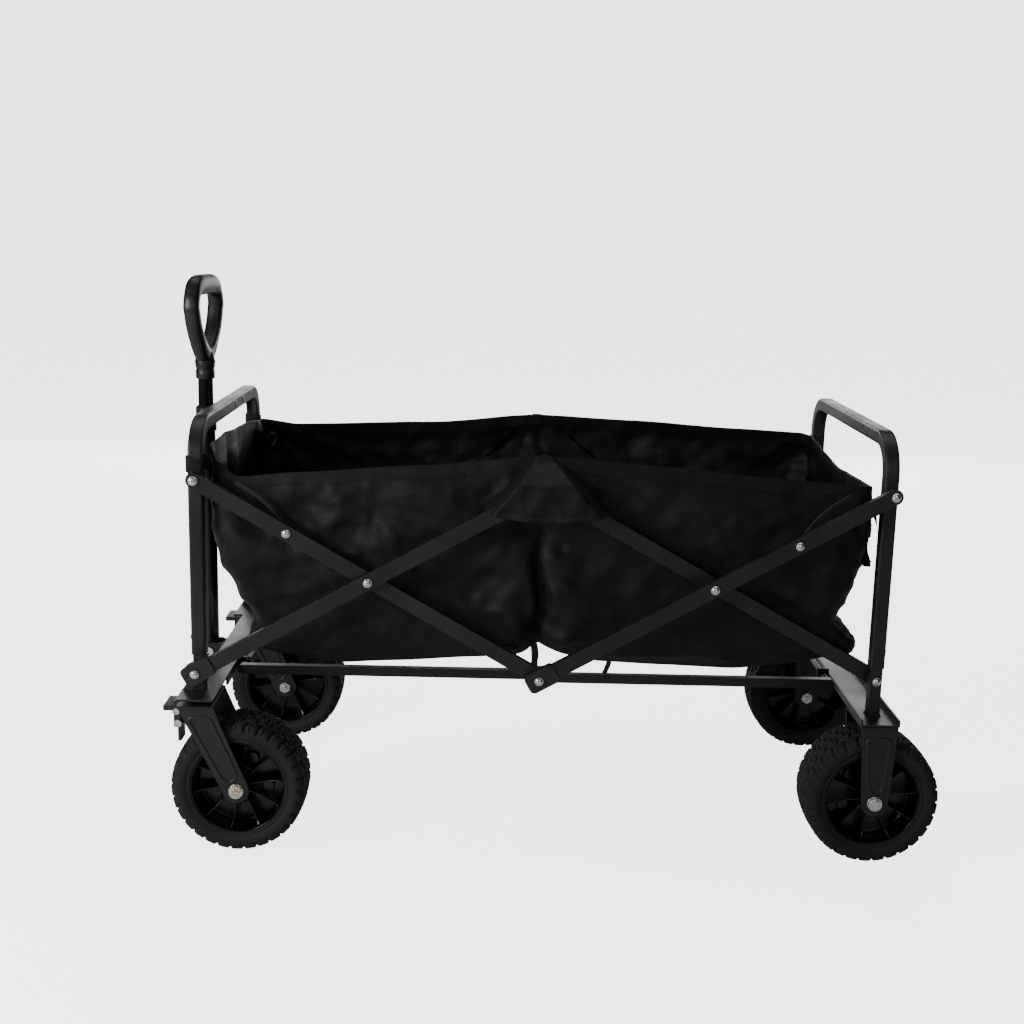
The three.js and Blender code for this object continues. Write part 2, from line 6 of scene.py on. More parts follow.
import bmesh
import bpy
from mathutils import Matrix, Vector, noise


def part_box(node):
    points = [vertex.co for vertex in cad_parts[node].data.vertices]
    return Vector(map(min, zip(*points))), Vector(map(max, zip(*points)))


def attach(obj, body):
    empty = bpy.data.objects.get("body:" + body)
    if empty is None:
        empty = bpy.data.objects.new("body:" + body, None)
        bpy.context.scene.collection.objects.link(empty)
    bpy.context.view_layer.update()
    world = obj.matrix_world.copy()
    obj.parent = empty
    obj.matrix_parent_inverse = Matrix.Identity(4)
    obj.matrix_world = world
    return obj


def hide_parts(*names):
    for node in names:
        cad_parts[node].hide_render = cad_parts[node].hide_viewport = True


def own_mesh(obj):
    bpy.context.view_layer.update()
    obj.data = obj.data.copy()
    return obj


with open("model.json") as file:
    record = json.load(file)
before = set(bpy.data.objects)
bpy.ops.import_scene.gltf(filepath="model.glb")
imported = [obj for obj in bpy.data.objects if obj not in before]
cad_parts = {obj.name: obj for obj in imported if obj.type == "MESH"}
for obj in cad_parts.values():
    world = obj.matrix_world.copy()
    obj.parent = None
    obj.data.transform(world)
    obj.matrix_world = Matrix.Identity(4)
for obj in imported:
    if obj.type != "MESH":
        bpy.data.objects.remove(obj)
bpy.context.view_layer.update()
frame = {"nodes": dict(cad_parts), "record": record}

record = frame["record"]
body_of_node = {n: b for b, nodes in record["behaviour"]["bodies"].items() for n in nodes}
slot_of_node = {s["node"]: s["material_slot"] for s in record["subparts"]}
SIDES = (("left", -1), ("right", 1))
TAU = 2 * math.pi


def centre(node):
    low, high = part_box(node)
    return (low + high) / 2


def shares(count):
    """0 to 1 in count equal steps."""
    return [k / count for k in range(count + 1)]


def turns(count, start=0.0):
    """Angles round a full turn, in count equal steps."""
    return [TAU * k / count + start for k in range(count)]


# ---- Places read from the frame ----
FRONT_X = centre("left_kingpin").x
REAR_X = centre("left_rear_axle").x
MIDDLE_X = centre("left_top_pin").x
LEG_Y = abs(centre("left_kingpin").y)
LOW_Z = centre("left_bottom_pin").z
HIGH_Z = centre("left_top_pin").z
AXLE_Z = centre("left_rear_axle").z
FRONT_AXLE_X = centre("left_front_axle").x
HANDLE_X = centre("handle_outer_tube").x
BAR_RISE = (HIGH_Z - LOW_Z) / (REAR_X - MIDDLE_X)
LEG_SIDE = 0.019
EXTRA_RIVET = 0.118     # from a leg to the second rivet of an upper bar
EXTRA_Z = HIGH_Z - EXTRA_RIVET * BAR_RISE

# Distances from the wagon's middle plane to the faces that things sit on
LEG_FACE = 0.2210
REAR_POST_FACE = 0.2227
FRONT_WASHER_FACE = 0.2331
FRONT_HIGH_FACE = 0.2358
REAR_WASHER_FACE = 0.2441
OUTER_BAR_FACE = 0.2468
LOW_PIVOT_FACE = 0.2496
FORK_OUTER, FORK_INNER = 0.2570, 0.1680


# ---- Camera, light and floor ----
BACKDROP = 3.2
CAMERA = {"place": (-0.0813, -1.9863, 0.8289), "pitch": 11.62, "yaw": 0.62, "roll": 1.376, "lens": 49.12}


def make_camera():
    pitch, yaw, roll = (math.radians(CAMERA[k]) for k in ("pitch", "yaw", "roll"))
    forward = Vector((math.sin(yaw) * math.cos(pitch), math.cos(yaw) * math.cos(pitch), -math.sin(pitch)))
    level = Vector((math.cos(yaw), -math.sin(yaw), 0))
    up = level.cross(forward)
    right = math.cos(roll) * level + math.sin(roll) * up
    above = right.cross(forward)
    data = bpy.data.cameras.new("camera")
    data.lens = CAMERA["lens"]
    data.sensor_width = 36
    made = bpy.data.objects.new("camera", data)
    bpy.context.scene.collection.objects.link(made)
    made.matrix_world = Matrix((
        (right.x, above.x, -forward.x, CAMERA["place"][0]),
        (right.y, above.y, -forward.y, CAMERA["place"][1]),
        (right.z, above.z, -forward.z, CAMERA["place"][2]),
        (0, 0, 0, 1)))
    bpy.context.scene.camera = made


def area_light(name, place, target, size, power, colour=(1, 1, 1)):
    data = bpy.data.lights.new(name, "AREA")
    data.shape = "RECTANGLE"
    data.size, data.size_y = size
    data.energy = power
    data.color = colour
    made = bpy.data.objects.new(name, data)
    bpy.context.scene.collection.objects.link(made)
    made.location = place
    made.rotation_euler = (Vector(target) - Vector(place)).to_track_quat("-Z", "Y").to_euler()


def backdrop(tree, socket, lit, seen):
    """The white of a studio sweep: seen as itself, while it lights the object only by lit."""
    rays = tree.nodes.new("ShaderNodeLightPath")
    mix = tree.nodes.new("ShaderNodeMapRange")
    mix.inputs["To Min"].default_value = lit
    mix.inputs["To Max"].default_value = seen
    tree.links.new(rays.outputs["Is Camera Ray"], mix.inputs["Value"])
    tree.links.new(mix.outputs["Result"], socket)


def make_studio():
    area_light("key", (-1.7, -1.35, 1.0), (-0.3, 0, 0.38), (0.7, 0.7), 40)
    area_light("fill", (0.6, -3.4, 1.6), (0, 0, 0.3), (1.6, 1.6), 20)
    area_light("top", (0, 0.8, 3.6), (0, 0.2, 0), (3.6, 2.4), 52)
    area_light("back", (0, 3.2, 0.95), (0, 0, 0.35), (3.8, 1.1), 52)
    world = bpy.data.worlds.new("studio")
    bpy.context.scene.world = world
    world.use_nodes = True
    tree = world.node_tree
    tree.nodes["Background"].inputs["Color"].default_value = (1, 1, 1, 1)
    backdrop(tree, tree.nodes["Background"].inputs["Strength"], 0.03, BACKDROP)
    size = 14
    mesh = bpy.data.meshes.new("floor")
    mesh.from_pydata([(-size, -size, 0), (size, -size, 0), (size, size, 0), (-size, size, 0)], [], [(0, 1, 2, 3)])
    floor = bpy.data.objects.new("floor", mesh)
    bpy.context.scene.collection.objects.link(floor)
    look = bpy.data.materials.new("floor")
    look.use_nodes = True
    shader = look.node_tree.nodes["Principled BSDF"]
    shader.inputs["Base Color"].default_value = (0.8, 0.8, 0.8, 1)
    shader.inputs["Roughness"].default_value = 0.9
    shader.inputs["Emission Color"].default_value = (1, 1, 1, 1)
    backdrop(look.node_tree, shader.inputs["Emission Strength"], 0.0, BACKDROP)
    mesh.materials.append(look)


# ---- Materials ----
def new_look(name, roughness=0.5, metallic=0.0, specular=0.5, sheen=0.0, coat=0.0):
    made = bpy.data.materials.new(name)
    made.use_nodes = True
    shader = made.node_tree.nodes["Principled BSDF"]
    shader.inputs["Roughness"].default_value = roughness
    shader.inputs["Metallic"].default_value = metallic
    shader.inputs["Specular IOR Level"].default_value = specular
    shader.inputs["Sheen Weight"].default_value = sheen
    shader.inputs["Coat Weight"].default_value = coat
    return made, made.node_tree, shader


def node(tree, kind, **inputs):
    made = tree.nodes.new(kind)
    for key, value in inputs.items():
        made.inputs[key.replace("_", " ")].default_value = value
    return made


def object_noise(tree, scale, detail=4, roughness=0.55, stretch=(1, 1, 1)):
    place = tree.nodes.new("ShaderNodeTexCoord")
    mapping = node(tree, "ShaderNodeMapping", Scale=stretch)
    made = node(tree, "ShaderNodeTexNoise", Scale=scale, Detail=detail, Roughness=roughness)
    tree.links.new(place.outputs["Object"], mapping.inputs["Vector"])
    tree.links.new(mapping.outputs["Vector"], made.inputs["Vector"])
    return made.outputs["Fac"]


def ramp(tree, value, low, high, places=(0.3, 0.7)):
    """A colour that runs from low to high as value goes from one place to the other."""
    made = tree.nodes.new("ShaderNodeValToRGB")
    for element, place, colour in zip(made.color_ramp.elements, places, (low, high)):
        element.position = place
        element.color = (*colour, 1)
    tree.links.new(value, made.inputs["Fac"])
    return made.outputs["Color"]


def vary(tree, socket, *ramp_of):
    tree.links.new(ramp(tree, *ramp_of), socket)


def grey(value):
    return (value, value, value)


def bump(tree, shader, heights):
    """Chains bump nodes: each height is (value, strength, distance in metres)."""
    normal = None
    for value, strength, distance in heights:
        made = node(tree, "ShaderNodeBump", Strength=strength, Distance=distance)
        tree.links.new(value, made.inputs["Height"])
        if normal is not None:
            tree.links.new(normal, made.inputs["Normal"])
        normal = made.outputs["Normal"]
    tree.links.new(normal, shader.inputs["Normal"])


def painted_steel():
    look, tree, shader = new_look("powder_coat", 0.38, 0.0, 0.3)
    broad = object_noise(tree, 14, 3)
    fine = object_noise(tree, 900, 2)
    pits = object_noise(tree, 260, 4, 0.7)
    vary(tree, shader.inputs["Base Color"], broad, (0.0078, 0.0070, 0.0073), (0.0140, 0.0127, 0.0129))
    vary(tree, shader.inputs["Roughness"], broad, grey(0.34), grey(0.46))
    dents = ramp(tree, pits, grey(0.0), grey(1.0), (0.34, 0.42))
    bump(tree, shader, [(fine, 0.25, 0.0004), (dents, 0.16, 0.0006)])
    return look


def zinc(name="zinc_plate", tint=(0.62, 0.63, 0.65)):
    look, tree, shader = new_look(name, 0.26, 1.0)
    stain = object_noise(tree, 260, 4)
    dark = tuple(0.72 * c for c in tint)
    vary(tree, shader.inputs["Base Color"], stain, dark, tint, (0.35, 0.65))
    vary(tree, shader.inputs["Roughness"], stain, grey(0.2), grey(0.38))
    bump(tree, shader, [(object_noise(tree, 1200, 2), 0.15, 0.0002)])
    return look


def rubber():
    look, tree, shader = new_look("tyre_rubber", 0.72, 0.0, 0.2)
    dust = object_noise(tree, 30, 5)
    fine = object_noise(tree, 1500, 3)
    vary(tree, shader.inputs["Base Color"], dust, (0.0095, 0.0088, 0.0092), (0.0165, 0.0152, 0.0155), (0.3, 0.75))
    vary(tree, shader.inputs["Roughness"], dust, grey(0.62), grey(0.82))
    bump(tree, shader, [(fine, 0.35, 0.0004)])
    return look


def moulded(name, shade, roughness, grain, specular=0.35):
    look, tree, shader = new_look(name, roughness, 0.0, specular)
    flow = object_noise(tree, 45, 3)
    vary(tree, shader.inputs["Base Color"], flow, grey(shade * 0.85), grey(shade * 1.15))
    vary(tree, shader.inputs["Roughness"], flow, grey(roughness - 0.04), grey(roughness + 0.06))
    bump(tree, shader, [(object_noise(tree, 1800, 2), grain, 0.0003)])
    return look


def weave(tree, pitch):
    """Threads over and under along three axes, so the cloth reads from every side."""
    place = tree.nodes.new("ShaderNodeTexCoord")
    waves = []
    for axis in ("X", "Z", "Y"):
        wave = node(tree, "ShaderNodeTexWave", Scale=1 / pitch / 3.2, Distortion=0.6, Detail=1.0)
        wave.bands_direction = axis
        tree.links.new(place.outputs["Object"], wave.inputs["Vector"])
        waves.append(wave.outputs["Fac"])
    total = waves[0]
    for wave in waves[1:]:
        add = tree.nodes.new("ShaderNodeMath")
        add.operation = "MULTIPLY_ADD"
        add.inputs[1].default_value = 0.5
        tree.links.new(wave, add.inputs[0])
        tree.links.new(total, add.inputs[2])
        total = add.outputs[0]
    return total


def cloth(name, low, high, roughness, sheen, pitch):
    look, tree, shader = new_look(name, roughness, 0.0, 0.17, sheen)
    shader.inputs["Sheen Roughness"].default_value = 0.45
    shader.inputs["Sheen Tint"].default_value = (0.75, 0.8, 1.0, 1)
    worn = object_noise(tree, 9, 5, 0.6)
    crinkle = object_noise(tree, 70, 6, 0.65)
    vary(tree, shader.inputs["Base Color"], worn, low, high)
    vary(tree, shader.inputs["Roughness"], crinkle, grey(roughness - 0.08), grey(roughness + 0.1))
    bump(tree, shader, [(weave(tree, pitch), 0.22, 0.0003), (crinkle, 0.3, 0.003)])
    return look


# ---- Mesh helpers ----
class Form:
    """Collects points and faces for one piece."""

    def __init__(self):
        self.points = []
        self.faces = []

    def add(self, points, faces):
        first = len(self.points)
        self.points += [Vector(p) for p in points]
        self.faces += [tuple(first + i for i in f) for f in faces]
        return self

    def loft(self, rings, caps=True, around=True, end_to_end=False):
        n, m = len(rings), len(rings[0])
        points = [p for ring in rings for p in ring]
        faces = []
        for i in range(n if end_to_end else n - 1):
            for k in range(m if around else m - 1):
                a, b = i * m + k, i * m + (k + 1) % m
                c, d = ((i + 1) % n) * m + (k + 1) % m, ((i + 1) % n) * m + k
                faces.append((a, b, c, d))
        if caps and not end_to_end:
            faces.append(tuple(reversed(range(m))))
            faces.append(tuple((n - 1) * m + k for k in range(m)))
        return self.add(points, faces)

    def lathe(self, middle, axis, profile, sides=32, closed=False):
        """Turns (radius, distance along axis) points about an axis through middle."""
        axis = Vector(axis).normalized()
        across = axis.orthogonal().normalized()
        other = axis.cross(across)
        rings = [[Vector(middle) + axis * along + (across * math.cos(a) + other * math.sin(a)) * radius
                  for a in turns(sides)] for radius, along in profile]
        return self.loft(rings, caps=not closed, end_to_end=closed)

    def rod(self, start, end, r, sides=20, round_ends=0.0):
        start, end = Vector(start), Vector(end)
        length = (end - start).length
        e = round_ends
        profile = [(r - e, 0), (r, e), (r, length - e), (r - e, length)] if e else [(r, 0), (r, length)]
        return self.lathe(start, end - start, profile, sides)

    def block(self, low, high):
        (x0, y0, z0), (x1, y1, z1) = low, high
        points = [(x0, y0, z0), (x1, y0, z0), (x1, y1, z0), (x0, y1, z0),
                  (x0, y0, z1), (x1, y0, z1), (x1, y1, z1), (x0, y1, z1)]
        faces = [(3, 2, 1, 0), (4, 5, 6, 7), (0, 1, 5, 4), (1, 2, 6, 5), (2, 3, 7, 6), (3, 0, 4, 7)]
        return self.add(points, faces)

    def sweep(self, path, section, side, caps=True, bend_dent=None):
        """Carries a flat section along a path that lies square to side."""
        side = Vector(side).normalized()
        rings = []
        for i, p in enumerate(path):
            before = (p - path[i - 1]).normalized() if i else Vector()
            after = (path[i + 1] - p).normalized() if i < len(path) - 1 else Vector()
            up = side.cross((before + after).normalized())
            ring = []
            for a, b in section:
                if bend_dent:
                    b = bend_dent(i, a, b)
                ring.append(p + side * a + up * b)
            rings.append(ring)
        return self.loft(rings, caps)

    def ribbon(self, path, width_axis, width, thick):
        """A strap: a flat band along a path; width_axis is one direction, or one per point."""
        rings = []
        for i, p in enumerate(path):
            before = path[max(i - 1, 0)]
            after = path[min(i + 1, len(path) - 1)]
            across = Vector(width_axis[i] if isinstance(width_axis, list) else width_axis).normalized()
            along = (after - before).normalized()
            out = along.cross(across).normalized() * thick / 2
            edge = across * width / 2
            rings.append([p - edge - out, p + edge - out, p + edge + out, p - edge + out])
        return self.loft(rings)

    def piece(self, name, body, look, slot=None, bevel=0.0, sharp=32):
        mesh = bpy.data.meshes.new(name)
        mesh.from_pydata(self.points, [], self.faces)
        mesh.validate()
        return finish_piece(mesh, name, body, look, bevel, sharp)


def finish_piece(mesh, name, body, look, bevel, sharp):
    shape = bmesh.new()
    shape.from_mesh(mesh)
    bmesh.ops.recalc_face_normals(shape, faces=shape.faces)
    shape.to_mesh(mesh)
    shape.free()
    mesh.materials.clear()
    mesh.materials.append(look)
    made = bpy.data.objects.new(name, mesh)
    bpy.context.scene.collection.objects.link(made)
    if bevel:
        edge = made.modifiers.new("edge", "BEVEL")
        edge.width = bevel
        edge.segments = 2
        edge.limit_method = "ANGLE"
        edge.angle_limit = math.radians(30)
        edge.harden_normals = True
    mesh.shade_smooth()
    mesh.set_sharp_from_angle(angle=math.radians(sharp))
    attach(made, body)
    return made


def refine(node_name, look, bevel=0.0009, sharp=30, name=None):
    """A CAD part with its flat faces joined and its edges rounded."""
    mesh = frame["nodes"][node_name].data.copy()
    shape = bmesh.new()
    shape.from_mesh(mesh)
    bmesh.ops.remove_doubles(shape, verts=shape.verts, dist=2e-5)
    bmesh.ops.dissolve_limit(shape, angle_limit=math.radians(1), verts=shape.verts, edges=shape.edges)
    shape.to_mesh(mesh)
    shape.free()
    made = finish_piece(mesh, name or node_name + "_fine", body_of_node[node_name], look,
                        bevel, sharp)
    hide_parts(node_name)
    return made


def rounded_section(width, height, r, steps=4):
    points = []
    for cx, cy, start in ((1, 1, 0), (-1, 1, 1), (-1, -1, 2), (1, -1, 3)):
        for k in range(steps + 1):
            a = (start + k / steps) * math.pi / 2
            points.append((cx * (width / 2 - r) + r * math.cos(a), cy * (height / 2 - r) + r * math.sin(a)))
    return points


def smooth(t):
    t = max(0.0, min(1.0, t))
    return t * t * (3 - 2 * t)


make_camera()
make_studio()
PAINT = painted_steel()
ZINC = zinc()
BRASS = zinc("yellow_zinc", (0.66, 0.58, 0.42))
RUBBER = rubber()
GLOSS = moulded("rim_gloss", 0.0022, 0.2, 0.04)
PLASTIC = moulded("grained_plastic", 0.0075, 0.4, 0.3)
GLOSS_PAINT = moulded("gloss_paint", 0.0040, 0.16, 0.05)
CLOTH = cloth("polyester", (0.0034, 0.0032, 0.0046), (0.0064, 0.0061, 0.0082), 0.56, 0.004, 0.0007)
WEB = cloth("webbing", (0.0035, 0.0035, 0.0042), (0.0065, 0.0065, 0.0075), 0.66, 0.01, 0.0012)
THREAD = moulded("thread", 0.010, 0.6, 0.3, 0.2)
HEM = cloth("hem_tape", (0.0038, 0.0038, 0.0048), (0.0070, 0.0070, 0.0086), 0.6, 0.01, 0.0009)


# ---- End frames ----
def u_frame(name, x):
    """A square tube bent to a U, its inner face crushed in the bends, with open feet."""
    low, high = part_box(name)
    top = high.z - LEG_SIDE / 2
    bend, steps, wall = 0.046, 18, 0.0016
    path = [Vector((x, -LEG_Y, low.z)), Vector((x, -LEG_Y, low.z + 0.001))]
    turning = [0.0, 0.0]
    for side in (-1, 1):
        for t in shares(steps):
            turn = (t if side < 0 else 1 - t) * math.pi / 2
            path.append(Vector((x, side * (LEG_Y - bend + bend * math.cos(turn)),
                                top - bend + bend * math.sin(turn))))
            turning.append(math.sin(math.pi * t))
    path += [Vector((x, LEG_Y, low.z + 0.001)), Vector((x, LEG_Y, low.z))]
    turning += [0.0, 0.0]

    def crush(i, a, b):
        depth = 0.0042 * turning[i] ** 2 * math.exp(-(a / 0.0052) ** 2)
        return b + depth * (b < -0.006)

    section = rounded_section(LEG_SIDE, LEG_SIDE, 0.003, 5)
    fine = []
    for (a0, b0), (a1, b1) in zip(section, section[1:] + section[:1]):
        cuts = 6 if math.dist((a0, b0), (a1, b1)) > 0.004 else 1
        fine += [(a0 + (a1 - a0) * k / cuts, b0 + (b1 - b0) * k / cuts) for k in range(cuts)]
    form = Form().sweep(path, fine, (1, 0, 0), caps=False, bend_dent=crush)
    hole = [(a * (1 - 2 * wall / LEG_SIDE), b * (1 - 2 * wall / LEG_SIDE)) for a, b in section]
    for y in (-LEG_Y, LEG_Y):
        form.loft([[Vector((x + a, y + b, low.z + deep)) for a, b in ring]
                   for ring, deep in ((section, 0), (hole, 0), (hole, 0.03))], caps=False)
    made = form.piece(name + "_tube", body_of_node[name], PAINT, sharp=40)
    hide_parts(name)


u_frame("front_frame", FRONT_X)
u_frame("rear_frame", REAR_X)


# ---- Bars, posts, beams, brackets, rails ----
for side, _ in SIDES:
    for bar in ("lower_front_bar", "upper_front_bar", "lower_rear_bar", "upper_rear_bar"):
        refine(f"{side}_{bar}", PAINT, 0.0024)
    for part in ("front_bracket", "middle_bracket", "front_post", "rear_post", "caster_fork", "rear_fork"):
        refine(f"{side}_{part}", PAINT, 0.0008)
for part in ("front_beam", "rear_beam", "base_strut_front", "base_strut_rear", "handle_bracket"):
    refine(part, PAINT, 0.0008)

# ---- Rivets, nuts and welds ----
def dome_profile(r, height, steps=7):
    return [(r * math.cos(a), height * math.sin(a)) for a in
            (k * math.pi / 2 / steps for k in range(steps))] + [(0.0002, height)]


def rivet(form, x, face, z, sign, r=0.0048, height=0.0024):
    """A domed rivet head on a face that looks along Y."""
    return form.lathe((x, sign * face, z), (0, sign, 0), [(r + 0.0009, -0.0006), (r + 0.0009, 0.0003), (r, 0.0005)]
                      + [(a, b + 0.0005) for a, b in dome_profile(r, height)[1:]], 28)


def washer(form, x, face, z, sign, r):
    return form.lathe((x, sign * face, z), (0, sign, 0),
                      [(r, -0.0008), (r, 0.0002), (r - 0.0004, 0.0006), (0.002, 0.0006)], 28)


def hex_head(form, x, face, z, sign, r, thick, chamfer=0.0009):
    ring = [(r * math.cos(a), r * math.sin(a)) for a in turns(6, 0.3)]
    levels = ((0, 1), (thick - chamfer, 1), (thick, 0.88))
    return form.loft([[Vector((x + a * f, sign * (face + d), z + b * f)) for a, b in ring] for d, f in levels])


def round_ring(p, along, hint, r, sides=7):
    """A ring about p, square to along."""
    across = along.cross(hint).normalized()
    up = across.cross(along)
    return [p + (across * math.cos(a) + up * math.sin(a)) * r for a in turns(sides)]


def weld(form, points, r=0.0016):
    """A rippled bead along a closed run of points."""
    rings = []
    dense = []
    for a, b in zip(points, points[1:] + points[:1]):
        steps = max(2, round((b - a).length / 0.0011))
        dense += [a.lerp(b, k / steps) for k in range(steps)]
    for i, p in enumerate(dense):
        along = (dense[(i + 1) % len(dense)] - dense[i - 1]).normalized()
        size = r * (1 + 0.22 * math.sin(i * 1.9) + 0.15 * noise.noise(p * 400))
        rings.append(round_ring(p, along, Vector((0, 0, 1)), size))
    return form.loft(rings, caps=False, end_to_end=True)


def square(x, y, z, half):
    return [Vector((x + a * half, y + b * half, z)) for a, b in ((-1, -1), (1, -1), (1, 1), (-1, 1))]


for side, sign in SIDES:
    cross_front, cross_rear = centre(f"{side}_front_cross_pin"), centre(f"{side}_rear_cross_pin")
    for name, body, x, face, z in (
            ("front_cross", f"{side}_lower_front", cross_front.x, OUTER_BAR_FACE, cross_front.z),
            ("rear_cross", f"{side}_lower_rear", cross_rear.x, OUTER_BAR_FACE, cross_rear.z),
            ("top", f"{side}_lower_front", MIDDLE_X, OUTER_BAR_FACE, HIGH_Z),
            ("bottom", f"{side}_upper_front", MIDDLE_X, LOW_PIVOT_FACE, LOW_Z),
            ("front_top", "front_frame", FRONT_X, FRONT_HIGH_FACE, HIGH_Z),
            ("rear_top", "rear_frame", REAR_X, OUTER_BAR_FACE, HIGH_Z),
            ("front_low", "front_base", FRONT_X, LOW_PIVOT_FACE, LOW_Z),
            ("rear_low", "rear_base", REAR_X, REAR_POST_FACE, LOW_Z)):
        form = rivet(Form(), x, face, z, sign)
        spaced = body in ("front_frame", "rear_frame")     # a spacer between the leg and the bar
        if spaced:
            form.rod((x, sign * LEG_FACE, z), (x, sign * face, z), 0.0062, 24)
        form.piece(f"{side}_{name}_rivet", body, ZINC, sharp=30 if spaced else 32)
    for end, leg_x, towards, face, weld_lift in (("front", FRONT_X, 1, FRONT_WASHER_FACE, 0.0108),
                                                 ("rear", REAR_X, -1, REAR_WASHER_FACE, 0.0004)):
        x, bar = leg_x + towards * EXTRA_RIVET, f"{side}_upper_{end}"
        washer(Form(), x, face, EXTRA_Z, sign, 0.0075).piece(f"{side}_{end}_extra_washer", bar, PAINT)
        rivet(Form(), x, face + 0.0006, EXTRA_Z, sign, 0.0046, 0.0022).piece(
            f"{side}_{end}_extra_rivet", bar, ZINC)
        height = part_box(f"{side}_{end}_post")[0].z + weld_lift
        weld(Form(), square(leg_x, sign * LEG_Y, height, 0.0081)).piece(
            f"{side}_{end}_post_weld", f"{end}_base", PAINT, sharp=60)


# ---- Fork pressings: a raised bead round a recessed panel ----
def with_normals(outline):
    """(point, normal) pairs round a closed flat outline."""
    found = []
    for i, point in enumerate(outline):
        (a0, b0), (a1, b1) = outline[i - 1], outline[(i + 1) % len(outline)]
        length = math.hypot(a1 - a0, b1 - b0)
        found.append((point, ((b1 - b0) / length, -(a1 - a0) / length)))
    return found
def bead_loop(form, points, y, sign, r=0.0022):
    rings = []
    dense = []
    for a, b in zip(points, points[1:] + points[:1]):
        steps = max(1, round(math.dist(a, b) / 0.004))
        dense += [(a[0] + (b[0] - a[0]) * k / steps, a[1] + (b[1] - a[1]) * k / steps) for k in range(steps)]
    wide, deep = r * 1.25, r * 0.62
    for (x, z), (nx, nz) in with_normals(dense):
        rings.append([Vector((x + nx * wide * math.cos(a), sign * (y + deep * math.sin(a)),
                              z + nz * wide * math.cos(a))) for a in turns(10)])
    return form.loft(rings, caps=False, end_to_end=True)


def leg_panel(top_x, top_z, axle_x, top_half, end_r, stop):
    """Outline of the recess: a rounded top that narrows to a round end above the axle."""
    lean = math.atan2(axle_x - top_x, top_z - AXLE_Z)
    along = Vector((math.sin(lean), 0, -math.cos(lean)))
    across = Vector((math.cos(lean), 0, math.sin(lean)))
    end = Vector((axle_x, 0, AXLE_Z)) - along * stop
    drop, r = 0.016, 0.005
    left, right = (top_x + way * top_half + drop * math.tan(lean) for way in (-1, 1))
    z = top_z - drop
    outline = [(left + r, z), (right - r, z), (right - r * 0.3, z - r * 0.3), (right, z - r)]
    for t in shares(8):
        a = -math.pi * t
        p = end + across * end_r * math.cos(a) - along * end_r * math.sin(a)
        outline.append((p.x, p.z))
    return outline + [(left, z - r), (left + r * 0.3, z - r * 0.3)]


def smooth_outline(points, rounds=2):
    for _ in range(rounds):
        finer = []
        for a, b in zip(points, points[1:] + points[:1]):
            finer += [(a[0] * 0.75 + b[0] * 0.25, a[1] * 0.75 + b[1] * 0.25),
                      (a[0] * 0.25 + b[0] * 0.75, a[1] * 0.25 + b[1] * 0.75)]
        points = finer
    return points


for side, sign in SIDES:
    for name, top_x, axle_x, above in (("caster", FRONT_X, FRONT_AXLE_X, 0.0055), ("rear", REAR_X, REAR_X, 0)):
        fork = f"{side}_{name}_fork"
        body = body_of_node[fork]
        top_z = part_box(fork)[1].z - above
        outline = smooth_outline(leg_panel(top_x, top_z, axle_x, 0.0150, 0.0105, 0.024))
        for place, face in (("outer", FORK_OUTER), ("inner", FORK_INNER)):
            bead_loop(Form(), outline, face, sign).piece(f"{fork}_{place}_bead", body, PAINT, sharp=60)
        lip = [Vector((top_x + dx, sign * 0.2568, top_z - 0.0016)) for dx in (-0.0225, 0, 0.0225)]
        Form().sweep(lip, rounded_section(0.0032, 0.0032, 0.0015, 4), (0, 1, 0)).piece(
            f"{fork}_fold", body, PAINT, sharp=60)

# ---- Wheels ----
TYRE_R = 0.0899
TYRE_HALF = 0.0374
CROWN_HALF = 0.0296


def tyre_profile():
    """(radius, place across, tread share) from one bead over the crown to the other."""
    half = [(0.0626, 0.0325, 0), (0.0635, 0.0342, 0), (0.0660, 0.0350, 0), (0.0672, 0.0342, 0), (0.0690, 0.0352, 0),
            (0.0720, 0.0368, 0), (0.0750, TYRE_HALF, 0), (0.0785, 0.0372, 0.0), (0.0800, 0.0370, 0.55),
            (0.0830, 0.0360, 0.9), (0.0858, 0.0342, 1), (0.0876, 0.0318, 1)]
    crown = [(TYRE_R - 0.0014 * s * s, CROWN_HALF * s, 1) for s in (1 - 2 * t for t in shares(30))]
    return half + crown + [(r, -y, t) for r, y, t in reversed(half)]


def groove(value, place, width, soft=0.6):
    """1 inside a groove centred on place, falling to 0 outside it."""
    return 1 - smooth((abs(value - place) - width * (1 - soft)) / (width * soft * 2))


def tread_depth(y, turn, share):
    s = y / CROWN_HALF
    blocks = 30
    phase = turn * blocks
    zig = abs((phase % 1) - 0.5) * 4 - 1
    depth = 0.0
    if abs(s) < 1.02:
        for place in (-0.62, -0.21, 0.21, 0.62):
            depth = max(depth, groove(s, place + 0.07 * zig * (1 if place > 0 else -1), 0.055))
        row = round((s + 0.415) / 0.415)
        shifted = (phase + (0.5 if row % 2 else 0) + 0.35 * s) % 1
        depth = max(depth, groove(shifted, 0.5, 0.075) * (0.9 if abs(s) > 0.2 else 0.75))
        sipe = (phase * 2 + 0.25 - 0.5 * s) % 1
        depth = max(depth, 0.3 * groove(sipe, 0.5, 0.07))
    else:
        lug = (phase + 0.5 + 0.35 * (1 if y > 0 else -1)) % 1
        depth = groove(lug, 0.5, 0.14, 0.45)
        depth = max(depth, 0.45 * groove((phase * 2) % 1, 0.0, 0.1) + 0.45 * groove((phase * 2) % 1, 1.0, 0.1))
    return depth * share * 0.0034


